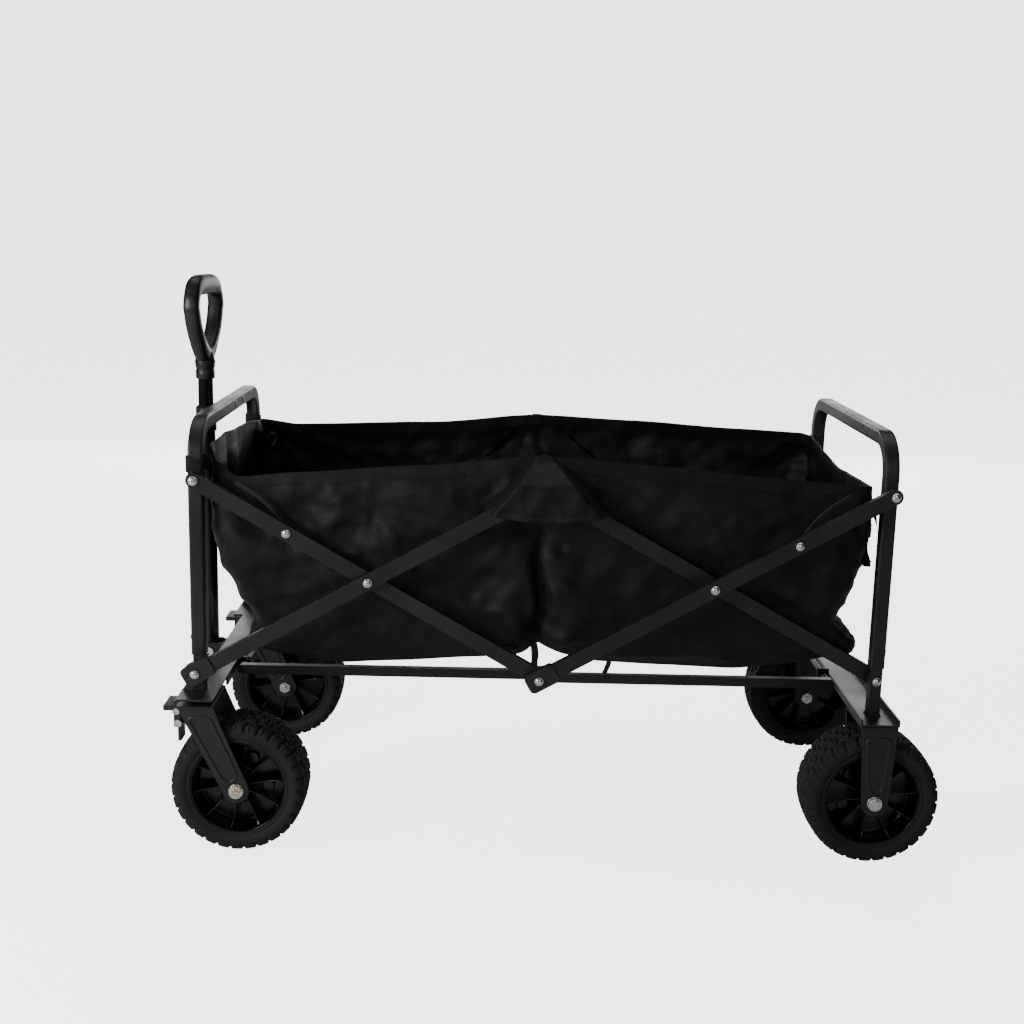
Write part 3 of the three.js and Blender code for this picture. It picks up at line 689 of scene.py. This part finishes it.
def tyre(side, sign, end, x):
    profile = tyre_profile()
    rings = []
    for turn in shares(420)[:-1]:
        a = TAU * turn
        ring = []
        for r, y, share in profile:
            cut = tread_depth(y, turn, share) if share else 0
            push = cut * 0.35 if r < 0.087 else 0
            ring.append(Vector((x + (r - cut) * math.sin(a), sign * LEG_Y + y - math.copysign(push, y),
                                AXLE_Z - (r - cut) * math.cos(a))))
        rings.append(ring)
    made = Form().loft(rings, caps=False, end_to_end=True).piece(
        f"{side}_{end}_tread", f"{side}_{end}_wheel", RUBBER, sharp=38)
    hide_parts(f"{side}_{end}_tyre")


def rim(side, sign, end, x):
    middle = Vector((x, sign * LEG_Y, AXLE_Z))
    axis = Vector((0, sign, 0))
    half, web = 0.0335, 0.0035
    inner = [(0.0064, -0.0388), (0.0120, -0.0388), (0.0128, -0.0380), (0.0150, -0.0200), (0.0168, -web - 0.002),
             (0.0190, -web), (0.0560, -web), (0.0582, -web - 0.002), (0.0592, -0.0150), (0.0600, -0.0290),
             (0.0603, -0.0318), (0.0612, -half), (0.0621, -half), (0.0624, -half + 0.0008), (0.0624, -0.020),
             (0.0595, -0.010)]
    form = Form().lathe(middle, axis, inner + [(r, -d) for r, d in reversed(inner)], 96, closed=True)
    rib = [(0.0125, 0.0030), (0.0590, 0.0030), (0.0590, 0.0300), (0.0540, 0.0262), (0.0300, 0.0215),
           (0.0150, 0.0250), (0.0125, 0.0250)]
    for a in turns(10, 0.16):
        radial = Vector((math.sin(a), 0, math.cos(a)))
        side_way = Vector((math.cos(a), 0, -math.sin(a)))
        for face in (-1, 1):
            form.loft([[middle + radial * r + axis * face * d + side_way * t * (0.0012 - 0.0004 * (d > 0.01))
                        for r, d in rib] for t in (-1, 1)])
    for a in turns(5, 0.16 + TAU / 20):
        boss = middle + Vector((math.sin(a), 0, math.cos(a))) * 0.037
        form.lathe(boss + axis * web * 0.5, axis,
                   [(0.0085, 0), (0.0082, 0.0062), (0.0072, 0.0074), (0.003, 0.0074)], 20)
    made = form.piece(f"{side}_{end}_dish", f"{side}_{end}_wheel", GLOSS, bevel=0.0004, sharp=35)
    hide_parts(f"{side}_{end}_rim")


def zinc_plated(node_name):
    for place in frame["nodes"][node_name].material_slots:
        place.material = ZINC


for side, sign in SIDES:
    for end, x, body, look in (("front", FRONT_AXLE_X, f"{side}_caster", BRASS), ("rear", REAR_X, "rear_base", ZINC)):
        tyre(side, sign, end, x)
        rim(side, sign, end, x)
        zinc_plated(f"{side}_{end}_axle")
        form = Form().lathe((x, sign * 0.2571, AXLE_Z), (0, sign, 0),
                            [(0.0098, -0.0006), (0.0098, 0.0008), (0.0092, 0.0012), (0.004, 0.0012)], 32)
        if end == "front":
            hex_head(form, x, 0.2578, AXLE_Z, sign, 0.0088, 0.0046)
            form.lathe((x, sign * 0.2622, AXLE_Z), (0, sign, 0),
                       [(0.0046, 0), (0.0046, 0.0012), (0.0032, 0.0016), (0.0022, 0.0004), (0.0005, 0.0004)], 24)
        else:
            form.lathe((x, sign * 0.2582, AXLE_Z), (0, sign, 0),
                       [(0.0086, 0), (0.0086, 0.0030), (0.0080, 0.0040), (0.0060, 0.0046), (0.001, 0.0048)], 32)
        form.piece(f"{side}_{end}_axle_head", body, look, bevel=0.0003, sharp=30)
        form = hex_head(Form(), x, -FORK_INNER, AXLE_Z, -sign, 0.0092, 0.0052)
        form.rod((x, sign * 0.1660, AXLE_Z), (x, sign * 0.1600, AXLE_Z), 0.0042, 20, 0.0008)
        form.piece(f"{side}_{end}_axle_nut", body, ZINC, bevel=0.0003, sharp=30)
# ---- Brakes ----
for side, sign in SIDES:
    pedal = f"{side}_brake_pedal"
    refine(pedal, PLASTIC, 0.0022, 40)
    low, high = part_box(pedal)
    pivot = Vector((low.x + 0.021, sign * LEG_Y, AXLE_Z + 0.086))
    form = Form()
    for x, z, r in ((pivot.x, pivot.z, 0.0056), (pivot.x - 0.002, pivot.z + 0.0165, 0.0050)):
        form.lathe((x, sign * (LEG_Y + 0.0262), z), (0, sign, 0),
                   [(r, -0.001), (r, 0.0012), (r - 0.0008, 0.0022), (r * 0.62, 0.0022), (r * 0.5, 0.0012),
                    (0.0004, 0.0012)], 28)
    form.piece(f"{side}_brake_bolts", f"{side}_caster", ZINC, sharp=30)
    coil_r, coil_y, pitch = 0.0052, LEG_Y + 0.0135, 0.0011
    coil = [Vector((pivot.x + coil_r * math.cos(TAU * t), sign * (coil_y + pitch * t),
                    pivot.z + coil_r * math.sin(TAU * t))) for t in (k / 12 for k in range(60))]
    coil += [Vector((pivot.x + 0.006 + 0.012 * t, sign * (LEG_Y + 0.019),
                     pivot.z - 0.002 - 0.020 * t + 0.004 * math.sin(3 * t))) for t in shares(8)[1:]]
    rings = [round_ring(p, (coil[min(i + 1, len(coil) - 1)] - coil[max(i - 1, 0)]).normalized(),
                        Vector((0, 1, 0.2)), 0.0007) for i, p in enumerate(coil)]
    Form().loft(rings).piece(f"{side}_brake_spring", f"{side}_brake", ZINC, sharp=60)
    form = Form()
    for k in range(5):
        x, y, z = low.x + 0.0032 + 0.0026 * k, LEG_Y, high.z + 0.0001
        form.rod((x, sign * (y - 0.0165), z), (x, sign * (y + 0.0165), z), 0.0007, 8, 0.0003)
    form.piece(f"{side}_brake_grips", f"{side}_brake", PLASTIC)
    for pin in ("kingpin", "front_cross_pin", "rear_cross_pin", "top_pin", "bottom_pin"):
        zinc_plated(f"{side}_{pin}")
zinc_plated("handle_pin")
# ---- Pull handle ----
def handle_piece(node_name, profile, look, sides=40, grooves=0, depth=0.0):
    """A turned piece about the handle's axis; grooves run along it."""
    rings = []
    for r, z in profile:
        spokes = [(a, r - depth * max(0.0, math.cos(a * grooves)) ** 3 if grooves else r) for a in turns(sides)]
        rings.append([Vector((HANDLE_X + rr * math.cos(a), rr * math.sin(a), z)) for a, rr in spokes])
    made = Form().loft(rings, caps=False, end_to_end=True).piece(
        node_name + "_turned", body_of_node[node_name], look, slot_of_node[node_name], sharp=32)
    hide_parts(node_name)


def tube_profile(r, bore, z0, z1, edge=0.0008):
    return [(bore, z0), (r - edge, z0), (r, z0 + edge), (r, z1 - edge), (r - edge, z1), (bore, z1)]


for node_name, grooves in (("handle_outer_tube", 0), ("handle_inner_tube", 6)):
    low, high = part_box(node_name)
    r = (high.y - low.y) / 2
    handle_piece(node_name, tube_profile(r, r - 0.0014, low.z, high.z), GLOSS_PAINT,
                 72 if grooves else 48, grooves, 0.0011)
low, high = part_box("handle_collar")
r = (high.y - low.y) / 2
inner_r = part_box("handle_inner_tube")[1].y + 0.0004
outer_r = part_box("handle_outer_tube")[1].y + 0.0003
handle_piece("handle_collar", [
    (outer_r, low.z), (r - 0.0012, low.z), (r, low.z + 0.0012), (r, low.z + 0.010), (r - 0.0010, low.z + 0.0112),
    (r - 0.0010, low.z + 0.0135), (r, low.z + 0.0147), (r, high.z - 0.003), (r - 0.0022, high.z), (inner_r, high.z),
    (inner_r, high.z - 0.016), (outer_r, high.z - 0.020)], PLASTIC, 48)
Form().lathe((HANDLE_X, -r + 0.0002, low.z + 0.026), (0, -1, 0), dome_profile(0.0042, 0.0016), 20).piece(
    "handle_collar_button", "handle_tube", ZINC)

GRIP_HALF = 0.065
GRIP_THICK = 0.022
GRIP_TWIST = math.radians(-6.0)   # the grip has turned a little on its tube
SOCKET_R = 0.0134


def twisted(p):
    x, y = p.x - HANDLE_X, p.y
    c, s = math.cos(GRIP_TWIST), math.sin(GRIP_TWIST)
    return Vector((HANDLE_X + x * c - y * s, x * s + y * c, p.z))


def grip_loop():
    """A stirrup-shaped loop on a socket, with grooves for the fingers behind its top bar."""
    low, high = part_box("handle_grip")
    top = high.z
    foot_z = low.z + 0.022
    stops = [(0.0, foot_z + 0.010), (0.014, foot_z + 0.017), (0.030, foot_z + 0.033), (0.045, foot_z + 0.053),
             (GRIP_HALF - 0.0110, foot_z + 0.079), (GRIP_HALF - 0.0098, top - 0.045),
             (GRIP_HALF - 0.0125, top - 0.031), (GRIP_HALF - 0.022, top - 0.0185),
             (GRIP_HALF - 0.034, top - 0.0145), (0.016, top - 0.014), (0, top - 0.014)]
    outline = smooth_outline(stops + [(-y, z) for y, z in reversed(stops[1:-1])], 3)
    rings = []
    for (y, z), (ny, nz) in with_normals(outline):
        at_top = smooth((z - (top - 0.030)) / 0.016)
        reach = 0.0092 + 0.0048 * at_top + 0.0035 * smooth((foot_z + 0.040 - z) / 0.03)
        ring = []
        for a in turns(24):
            c, s = (math.copysign(abs(v) ** 0.75, v) for v in (math.cos(a), math.sin(a)))
            x, out = GRIP_THICK / 2 * s, reach * c
            if at_top > 0.5 and abs(y) < 0.036 and s > 0.2:
                groove_at = min(abs(out - g) for g in (-0.0070, -0.0020, 0.0030))
                x -= 0.0016 * math.exp(-(groove_at / 0.0011) ** 2) * smooth((0.036 - abs(y)) / 0.004)
            ring.append(twisted(Vector((HANDLE_X + x, y + ny * out, z + nz * out))))
        rings.append(ring)
    form = Form().loft(rings, caps=False, end_to_end=True)
    form.lathe((HANDLE_X, 0, low.z), (0, 0, 1),
               [(inner_r, 0.0), (SOCKET_R - 0.001, 0.0), (SOCKET_R, 0.001), (SOCKET_R, 0.012),
                (SOCKET_R - 0.0008, 0.0128), (SOCKET_R - 0.0008, 0.0145), (SOCKET_R, 0.0153),
                (SOCKET_R + 0.001, 0.024), (SOCKET_R - 0.001, 0.036), (0.006, 0.046), (0.001, 0.047), (0.001, 0.026), (inner_r, 0.025)],
               48, closed=True)
    made = form.piece("handle_grip_moulding", "handle_slider", PLASTIC, sharp=45)
    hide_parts("handle_grip")
    form = Form()
    facing = (math.cos(GRIP_TWIST), math.sin(GRIP_TWIST), 0)
    for y in (0.022, -0.022):
        seat = twisted(Vector((HANDLE_X + GRIP_THICK / 2 - 0.001, y, foot_z + 0.026)))
        form.lathe(seat, facing, dome_profile(0.0030, 0.0012), 16)
    form.lathe((HANDLE_X + SOCKET_R - 0.0004, 0, low.z + 0.019), (1, 0, 0), dome_profile(0.0030, 0.0012), 16)
    form.piece("handle_grip_screws", "handle_slider", ZINC)


grip_loop()

# ---- Small things on the frame ----
top_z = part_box("front_frame")[1].z - LEG_SIDE / 2
form = Form()
for y in (0.018, 0.072):
    form.lathe((FRONT_X + LEG_SIDE / 2, y, top_z), (1, 0, 0),
               [(0.0042, -0.0004), (0.0042, 0.0004), (0.0034, 0.0012), (0.0016, 0.0013), (0.0012, 0.0006),
                (0.0004, 0.0006)], 20)
form.piece("front_frame_screws", "front_frame", ZINC, sharp=30)
RAIL_Y = 0.0965
for side, sign in SIDES:
    for end, x, towards, off_leg in (("front", FRONT_X, 1, 0.0090), ("rear", REAR_X, -1, 0.0195)):
        # a thin link from the bar's second rivet to the leg
        start = Vector((x + towards * EXTRA_RIVET, sign * (LEG_Y + off_leg), EXTRA_Z))
        reach = Vector((x + towards * 0.050, sign * (LEG_Y + 0.0055), HIGH_Z - 0.004))
        path = [start.lerp(reach, t) + Vector((0, 0, 0.011 * math.sin(math.pi * t ** 0.8))) for t in shares(14)]
        form = Form().sweep(path, rounded_section(0.0024, 0.0050, 0.0009, 3), (0, 1, 0))
        form.lathe(start - Vector((0, sign * 0.0025, 0)), (0, sign, 0),
                   [(0.0072, 0), (0.0072, 0.0038), (0.0066, 0.0044), (0.002, 0.0044)], 24)
        form.piece(f"{side}_{end}_link", f"{side}_upper_{end}", PAINT, sharp=40)
        # the stop button near the foot of the sliding leg
        low_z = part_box(f"{end}_frame")[0].z
        Form().lathe((x - towards * LEG_SIDE / 2, sign * LEG_Y, low_z + 0.022), (-towards, 0, 0),
                     dome_profile(0.0044, 0.0024), 20).piece(f"{side}_{end}_leg_button", f"{end}_frame", ZINC)
    # the centre hinge of the base rails
    hub_low, hub_high = MIDDLE_X - 0.022, MIDDLE_X + 0.020
    rail_y, lip_y = sign * RAIL_Y, sign * (RAIL_Y + 0.0135)
    form = Form().block((hub_low, rail_y - 0.013, 0.2122), (hub_high, rail_y + 0.016, 0.2146))
    form.block((hub_low, lip_y - 0.0011, 0.2130), (hub_high, lip_y + 0.0011, 0.2225))
    form.piece(f"{side}_rail_hub", "front_strut", PAINT, bevel=0.0007)
    form = Form().rod((MIDDLE_X, rail_y, 0.2140), (MIDDLE_X, rail_y, 0.2185), 0.0055, 6)
    form.rod((MIDDLE_X, rail_y, 0.2180), (MIDDLE_X, rail_y, 0.2245), 0.0030, 16, 0.0006)
    form.piece(f"{side}_rail_hub_bolt", "front_strut", ZINC, bevel=0.0004)


# ---- Basket ----
BASKET_LOW, BASKET_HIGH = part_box("basket")
CLOTH_THICK = 0.0018
HEM_DROP = 0.0165
AROUND = 460                      # columns of the basket's mesh
FLOOR_Z = 0.262
KNOT_Y, KNOT_Z = 0.168, 0.497
PRESS = 0.005                     # over this depth the cloth flattens towards the bars

def along(t, stops):
    """Reads a list of (place, value) stops, eased between them."""
    for (t0, a), (t1, b) in zip(stops, stops[1:]):
        if t <= t1:
            share = max(0.0, (t - t0) / (t1 - t0))
            return a + (b - a) * (0.5 * share + 0.5 * smooth(share))
    return stops[-1][1]


FRONT_WALL = [(0, 0.032), (0.05, 0.034), (0.157, 0.047), (0.3, 0.026), (0.43, 0.0125), (0.61, 0.005),
              (0.83, -0.003), (1, -0.011)]
REAR_WALL = [(0, 0.004), (0.05, -0.006), (0.087, -0.006), (0.16, 0.014), (0.228, 0.030), (0.45, 0.014),
             (0.686, -0.001), (0.91, -0.005), (1, -0.005)]
HALF_WIDTH = [(0, 0.181), (0.08, 0.186), (0.3, 0.192), (0.6, 0.197), (0.85, 0.199), (1, 0.197)]
CORNER = [(0, 0.028), (0.5, 0.022), (1, 0.011)]
NEAR_HEM = [(-0.455, 0.524), (-0.418, 0.499), (-0.34, 0.507), (-0.18, 0.520), (MIDDLE_X, 0.535),
            (0.13, 0.525), (0.29, 0.512), (0.41, 0.503)]
FAR_HEM = [(-0.455, 0.520), (-0.40, 0.513), (-0.18, 0.521), (MIDDLE_X, 0.536), (0.13, 0.530),
           (0.29, 0.521), (0.41, 0.516)]
FRONT_HEM = [(-0.2, 0.538), (-0.09, 0.540), (0, 0.534), (0.08, 0.530), (0.2, 0.519)]
REAR_HEM = [(-0.2, 0.503), (0, 0.496), (0.2, 0.514)]
FOOT_LINE = [(-0.42, 0.268), (-0.36, 0.256), (-0.29, 0.246), (-0.22, 0.250), (-0.10, 0.258), (-0.05, 0.265),
             (MIDDLE_X, 0.276), (0.02, 0.265), (0.06, 0.255), (0.14, 0.252), (0.24, 0.249), (0.31, 0.256),
             (0.38, 0.270)]


def outline_at(u, v):
    """A point and its outward direction on the rounded outline of the basket at height share v."""
    x0, x1 = BASKET_LOW.x + along(v, FRONT_WALL), BASKET_HIGH.x - along(v, REAR_WALL)
    half, r = along(v, HALF_WIDTH), along(v, CORNER)
    cx, length = (x0 + x1) / 2, (x1 - x0) / 2
    sides = [2 * (length - r), r * math.pi / 2, 2 * (half - r), r * math.pi / 2]
    total = 2 * sum(sides)
    d = (u % 1) * total
    corners = ((cx + length - r, -half + r, -math.pi / 2), (cx + length - r, half - r, 0),
               (cx - length + r, half - r, math.pi / 2), (cx - length + r, -half + r, math.pi))
    starts = ((cx - length + r, -half, 1, 0), (cx + length, -half + r, 0, 1),
              (cx + length - r, half, -1, 0), (cx - length, half - r, 0, -1))
    for k in range(4):
        straight, bend = sides[(2 * k) % 4], sides[1]
        if d <= straight:
            x, y, dx, dy = starts[k]
            return Vector((x + dx * d, y + dy * d, 0)), Vector((dy, -dx, 0))
        d -= straight
        if d <= bend:
            x, y, a = corners[k]
            a += d / r
            return Vector((x + r * math.cos(a), y + r * math.sin(a), 0)), Vector((math.cos(a), math.sin(a), 0))
        d -= bend
    return outline_at(0, v)


def ridge(p):
    return 1 - 2.4 * abs(noise.noise(p))


def fan(x, z, ax, az, folds, reach, seed):
    """Folds that run out from a place where the cloth is held."""
    dx, dz = x - ax, z - az
    r = math.hypot(dx, dz)
    angle = math.atan2(dz, dx)
    return ridge(Vector((math.cos(angle) * folds, math.sin(angle) * folds, seed + r * 3))) \
        * math.exp(-r / reach) * smooth(r / 0.03)


def crumple(p, side):
    q = Vector((p.x, p.z * 1.25, side * 3.1 + 0.2 * p.y))
    tilt = Vector((q.x * 0.8 + q.y * 0.9, q.y * 0.7 - q.x * 0.3, q.z))
    return 0.0070 * ridge(tilt * 6.5) + 0.0050 * ridge(q * 14 + Vector((5, 2, 0))) \
        + 0.0026 * ridge(q * 33) + 0.0050 * noise.noise(q * 4.2 + Vector((9, 0, 0)))


def wall_limit(x, z):
    """How far out the side may go: the rear low bar leans in towards its foot."""
    bar_y = LEG_Y + 0.015 - 0.0325 * max(0.0, x - MIDDLE_X) / (REAR_X - MIDDLE_X)
    bar_z = HIGH_Z - BAR_RISE * (x - MIDDLE_X)
    near_bar = 1 - smooth((z - bar_z - 0.022) / 0.03) if x > MIDDLE_X else 0
    return 0.2175 * (1 - near_bar) + (bar_y - 0.0088) * near_bar


def cloth_point(u, v, out=0.0):
    """The outer face of the basket at share u round it and v up it, moved outwards by out."""
    flat, direction = outline_at(u, v)
    near_end = abs(direction.x)
    foot = along(flat.x, FOOT_LINE) * (1 - near_end) + FLOOR_Z * near_end
    side_hem = along(flat.x, NEAR_HEM if flat.y < 0 else FAR_HEM)
    end_hem = along(flat.y, FRONT_HEM if direction.x < 0 else REAR_HEM)
    hem = side_hem + (end_hem - side_hem) * near_end
    z = foot + (hem - foot) * v
    p = Vector((flat.x, flat.y, z))
    side = 1 if direction.y > 0 else -1
    loose = smooth(v / 0.08) * (0.25 + 0.75 * smooth((1 - v) / 0.14))
    push = crumple(p, side) * loose
    if near_end < 0.9:
        x = p.x
        push += 0.0080 * fan(x, z, MIDDLE_X, 0.262, 2.6, 0.12, 3.0 + side) * smooth(v / 0.05)
        push += 0.0070 * fan(x, z, BASKET_LOW.x, 0.515, 2.8, 0.17, 7.0 + side) * loose
        push += 0.0075 * fan(x, z, BASKET_HIGH.x, 0.515, 3.0, 0.17, 11.0 + side) * loose
        push += 0.0060 * fan(x, z, MIDDLE_X, 0.54, 2.4, 0.13, 15.0 + side) * loose
        push += 0.0060 * fan(x, z, -0.24, 0.47, 2.2, 0.06, 19.0 + side) * loose
        crease = math.exp(-((x - MIDDLE_X - 0.004 * math.sin(z * 60)) / 0.0085) ** 2)
        beside = math.exp(-((abs(x - MIDDLE_X) - 0.034) / 0.022) ** 2)
        low = smooth((0.62 - v) / 0.4)
        push += (-0.015 * crease + 0.008 * beside) * low
        push += 0.005 * math.sin(math.pi * min(1, v)) * (1 - crease)
    else:
        push += 0.004 * math.sin(math.pi * v) * (1 - (p.y / 0.2) ** 2)
        push += 0.006 * ridge(Vector((p.y * 14, z * 3, 31 + direction.x))) * loose
        if direction.x < 0:
            push += 0.009 * fan(p.y, z, KNOT_Y, KNOT_Z, 3.2, 0.10, 23.0) * smooth((1 - v) / 0.04)
            push -= 0.012 * math.exp(-((p.y - KNOT_Y) ** 2 + (z - KNOT_Z) ** 2) / 0.0004)
    moved = p + direction * (push + out)
    limit = wall_limit(moved.x, z) + max(out, 0)
    over = abs(moved.y) - (limit - PRESS)
    if over > 0:
        moved.y = math.copysign(limit - PRESS + PRESS * math.tanh(over / PRESS), moved.y)
    moved.x = max(FRONT_X + 0.0112, min(REAR_X - 0.0130, moved.x))
    return moved


def floor_point(u, share, out=0.0):
    """The floor, from its edge (share 1) to the middle (share 0)."""
    edge = cloth_point(u, 0.0)
    cx = (BASKET_LOW.x + BASKET_HIGH.x) / 2
    x, y = cx + (edge.x - cx) * share, edge.y * share
    rest = FLOOR_Z + 0.0016 * ridge(Vector((x * 9, y * 9, 51)))
    z = rest + (edge.z - rest) * smooth((share - 0.55) / 0.45)
    return Vector((x, y, z - out))


cloth_pieces = []


def sewn(form, name, look, **shading):
    """Adds a piece on the front frame and keeps it in the list of cloth pieces."""
    made = form.piece(name, "front_frame", look, **shading)
    cloth_pieces.append(made)
    return made


def make_basket():
    columns = shares(AROUND)[:-1]
    up, floor_rings = 48, 16
    outer, inner = [], []
    for i in range(floor_rings):
        share = (i + 0.35) / floor_rings
        outer.append([floor_point(u, share) for u in columns])
        inner.append([floor_point(u, share, -CLOTH_THICK) for u in columns])
    for v in shares(up):
        row = [cloth_point(u, v) for u in columns]
        lift = Vector((0, 0, CLOTH_THICK * smooth((0.06 - v) / 0.06)))
        outer.append(row)
        inner.append([p - outline_at(u, v)[1] * CLOTH_THICK + lift for u, p in zip(columns, row)])
    made = sewn(Form().loft(outer + inner[::-1]), "basket_cloth", CLOTH, sharp=180)
    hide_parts("basket")
    return made


def band_round(name, v_low, v_high, proud, look):
    """A tape sewn round the basket, over both faces of the cloth."""
    rings = []
    for u in shares(AROUND)[:-1]:
        _, direction = outline_at(u, v_high)
        ring = []
        for v, out in ((v_low, proud), ((v_low + v_high) / 2, proud * 1.3), (v_high, proud), (v_high, 0),
                       (v_high, -CLOTH_THICK), (v_high, -CLOTH_THICK - proud), (v_low, -CLOTH_THICK - proud)):
            p = cloth_point(u, v) + direction * out
            if v == v_high and -CLOTH_THICK < out <= 0:
                p.z += proud * 1.4
            ring.append(p)
        rings.append(ring)
    sewn(Form().loft(rings, caps=False, end_to_end=True), name, look, sharp=60)


def stitches(form, places, length=0.0042, width=0.0007, proud=0.0005):
    """Short raised threads; places are (start, end, outward)."""
    for start, end, outward in places:
        run = end - start
        if run.length < 1e-6:
            continue
        run.normalize()
        side_way = run.cross(outward).normalized() * width / 2
        base, top = outward * 0.0002, outward * proud
        rings = []
        for share, rise in ((0, 0.2), (0.3, 1), (0.7, 1), (1, 0.2)):
            p = start + run * length * share
            rings.append([p - side_way - base, p + side_way - base, p + top * rise])
        form.loft(rings)


basket = make_basket()
height = BASKET_HIGH.z - BASKET_LOW.z
hem_v = 1 - HEM_DROP / height
band_round("basket_hem", hem_v, 1.0, 0.0009, HEM)
form = Form()
for row in (hem_v + 0.008, 0.985):
    count, offset = 380, 0.0012
    places = []
    for k in range(count):
        u = k / count
        _, direction = outline_at(u, 1.0)
        places.append((cloth_point(u, row) + direction * offset,
                       cloth_point(u + 0.6 / count, row) + direction * offset, direction))
    stitches(form, places)
sewn(form, "basket_hem_stitches", THREAD)


# ---- Pockets over the tops of the scissors ----
def pocket_point(s, t, sign, out=0.0):
    """A point at share s across the pocket (-1 to 1) and t down it."""
    left, right = 0.074, 0.086
    reach = 0.006 + (left if s < 0 else right) * t ** 0.92
    x = MIDDLE_X + s * reach
    droop = 0.006 * math.sin(math.pi * (s + 1) / 2) * t
    z = 0.5375 - 0.0715 * t - droop + 0.003 * abs(s) * t
    wall, proud = 0.2045, 0.2535
    swell = smooth(t / 0.5) * (1 - smooth((abs(s) - 0.80) / 0.20))
    y = wall + (proud - wall) * swell
    y += 0.0036 * swell * ridge(Vector((x * 22, z * 15, 61 + sign))) + 0.0012 * math.sin(s * 9 + t * 4) * t
    return Vector((x, sign * (y + out), z))


for side, sign in SIDES:
    across = [-1 + 2 * t for t in shares(56)]
    sewn(Form().loft([[pocket_point(s, t, sign) for s in across] + [pocket_point(s, t, sign, -0.0014) for s in
                      reversed(across)] for t in shares(26)]), f"{side}_pocket", CLOTH, sharp=70)
    sewn(Form().loft([[pocket_point(s, t, sign, out) for t, out in (
        (1.012, -0.0022), (1.012, 0.0008), (0.88, 0.0008), (0.88, 0.0))] for s in across]),
        f"{side}_pocket_hem", HEM, sharp=50)
    outward = Vector((0, sign, 0))
    edges = []
    for k in range(17):
        t = 0.08 + 0.052 * k
        edges += [(pocket_point(s, t, sign, 0.0003), pocket_point(s, t + 0.04, sign, 0.0003), outward)
                  for s in (-0.93, 0.93)]
    for k in range(24):
        s = -0.95 + 1.9 * k / 23.5
        edges.append((pocket_point(s, 0.90, sign, 0.0011), pocket_point(s + 0.05, 0.90, sign, 0.0011), outward))
    form = Form()
    stitches(form, edges, 0.0038)
    sewn(form, f"{side}_pocket_stitches", THREAD)


# ---- Straps, flaps and ties ----
def squared(value):
    """Bends a circle's sine or cosine towards a square's."""
    return math.copysign(abs(value) ** 0.4, value)


for side, sign in SIDES:
    # corner strap round each front leg: it stays on the leg as the cloth folds
    z = HIGH_Z + 0.017
    loop = [Vector((FRONT_X + 0.0125, sign * (LEG_Y - 0.0150), z - 0.003))]
    for t in shares(32):
        a = math.pi * (0.30 + 1.45 * t)
        loop.append(Vector((FRONT_X + 0.0112 * squared(math.cos(a)), sign * (LEG_Y + 0.0112 * squared(-math.sin(a))),
                            z + 0.004 * math.sin(a * 2))))
    Form().ribbon(loop, (0, 0, 1), 0.020, 0.0014).piece(
        f"{side}_front_strap", "front_frame", WEB, sharp=50)
    # rear corner flap
    rows = []
    for t in shares(12):
        wide = 0.024 * (1 - t) + 0.003
        middle = Vector((0.4050 + 0.0150 * t, sign * (0.1850 + 0.004 * t),
                         0.492 - 0.044 * t + 0.006 * math.sin(t * 3)))
        fold = 0.003 * math.sin(t * 5)
        rows.append([middle + Vector((dx, sign * dy, dz)) for dx, dy, dz in (
            (-wide * 0.5, fold, 0.006), (0, 0.003 + fold, 0), (wide * 0.35, 0, -0.006),
            (wide * 0.30, -0.0016, -0.006), (0, 0.0014 + fold, 0), (-wide * 0.5, fold - 0.0016, 0.006))])
    sewn(Form().loft(rows), f"{side}_rear_flap", CLOTH, sharp=60)
    # hanging tail with a stitched end
    path = [Vector((0.4035 + 0.010 * t + 0.002 * math.sin(t * 7), sign * (0.174 - 0.006 * t), 0.452 - 0.056 * t))
            for t in shares(16)]
    end = path[-1]
    form = Form().ribbon(path, (0.5, sign * 0.8, 0.2), 0.017, 0.0018)
    form.block(end - Vector((0.0045, 0.0070, 0.004)), end + Vector((0.0045, 0.0070, 0.0045)))
    sewn(form, f"{side}_rear_tail", WEB, bevel=0.0005, sharp=50)
    # a strap and a tie from the floor to the rails
    path = [Vector((MIDDLE_X - 0.006 + 0.004 * math.sin(t * 3), sign * (0.150 - 0.040 * t), 0.271 - 0.050 * t))
            for t in shares(12)]
    sewn(Form().ribbon(path, (1, 0, 0), 0.009, 0.0014), f"{side}_floor_strap", WEB, sharp=50)
    path = [Vector((0.075 + 0.002 * math.sin(t * 4), sign * (0.160 - 0.045 * t), 0.258 - 0.042 * t))
            for t in shares(12)]
    sewn(Form().ribbon(path, (1, 0, 0), 0.007, 0.0014), f"{side}_floor_tie", WEB, sharp=50)

# knotted tape at the far front corner
knot = Vector((BASKET_LOW.x + 0.013, KNOT_Y, KNOT_Z))
path, widths = [], []
for t in shares(60):
    a = TAU * t * 2
    r = 0.0078 + 0.0030 * math.cos(1.5 * a)
    path.append(knot + Vector((0.0036 * math.sin(1.5 * a), r * math.cos(a), r * math.sin(a) * 0.8)))
    widths.append(Vector((1, 0.25 * math.sin(a), 0.25 * math.cos(a))))
form = Form().ribbon(path, widths, 0.0065, 0.0016)
for dy, dz in ((-0.020, -0.012), (0.016, -0.016)):
    tail = [knot + Vector((0.002 + 0.004 * math.sin(3 * t), dy * t, dz * t ** 1.5)) for t in shares(8)]
    form.ribbon(tail, (1, 0.1, 0.2), 0.0055, 0.0014)
sewn(form, "front_corner_knot", WEB, sharp=50)

for piece in cloth_pieces:
    if piece.modifiers:
        with bpy.context.temp_override(object=piece, active_object=piece, selected_objects=[piece]):
            bpy.ops.object.modifier_apply(modifier="edge")
    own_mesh(piece)
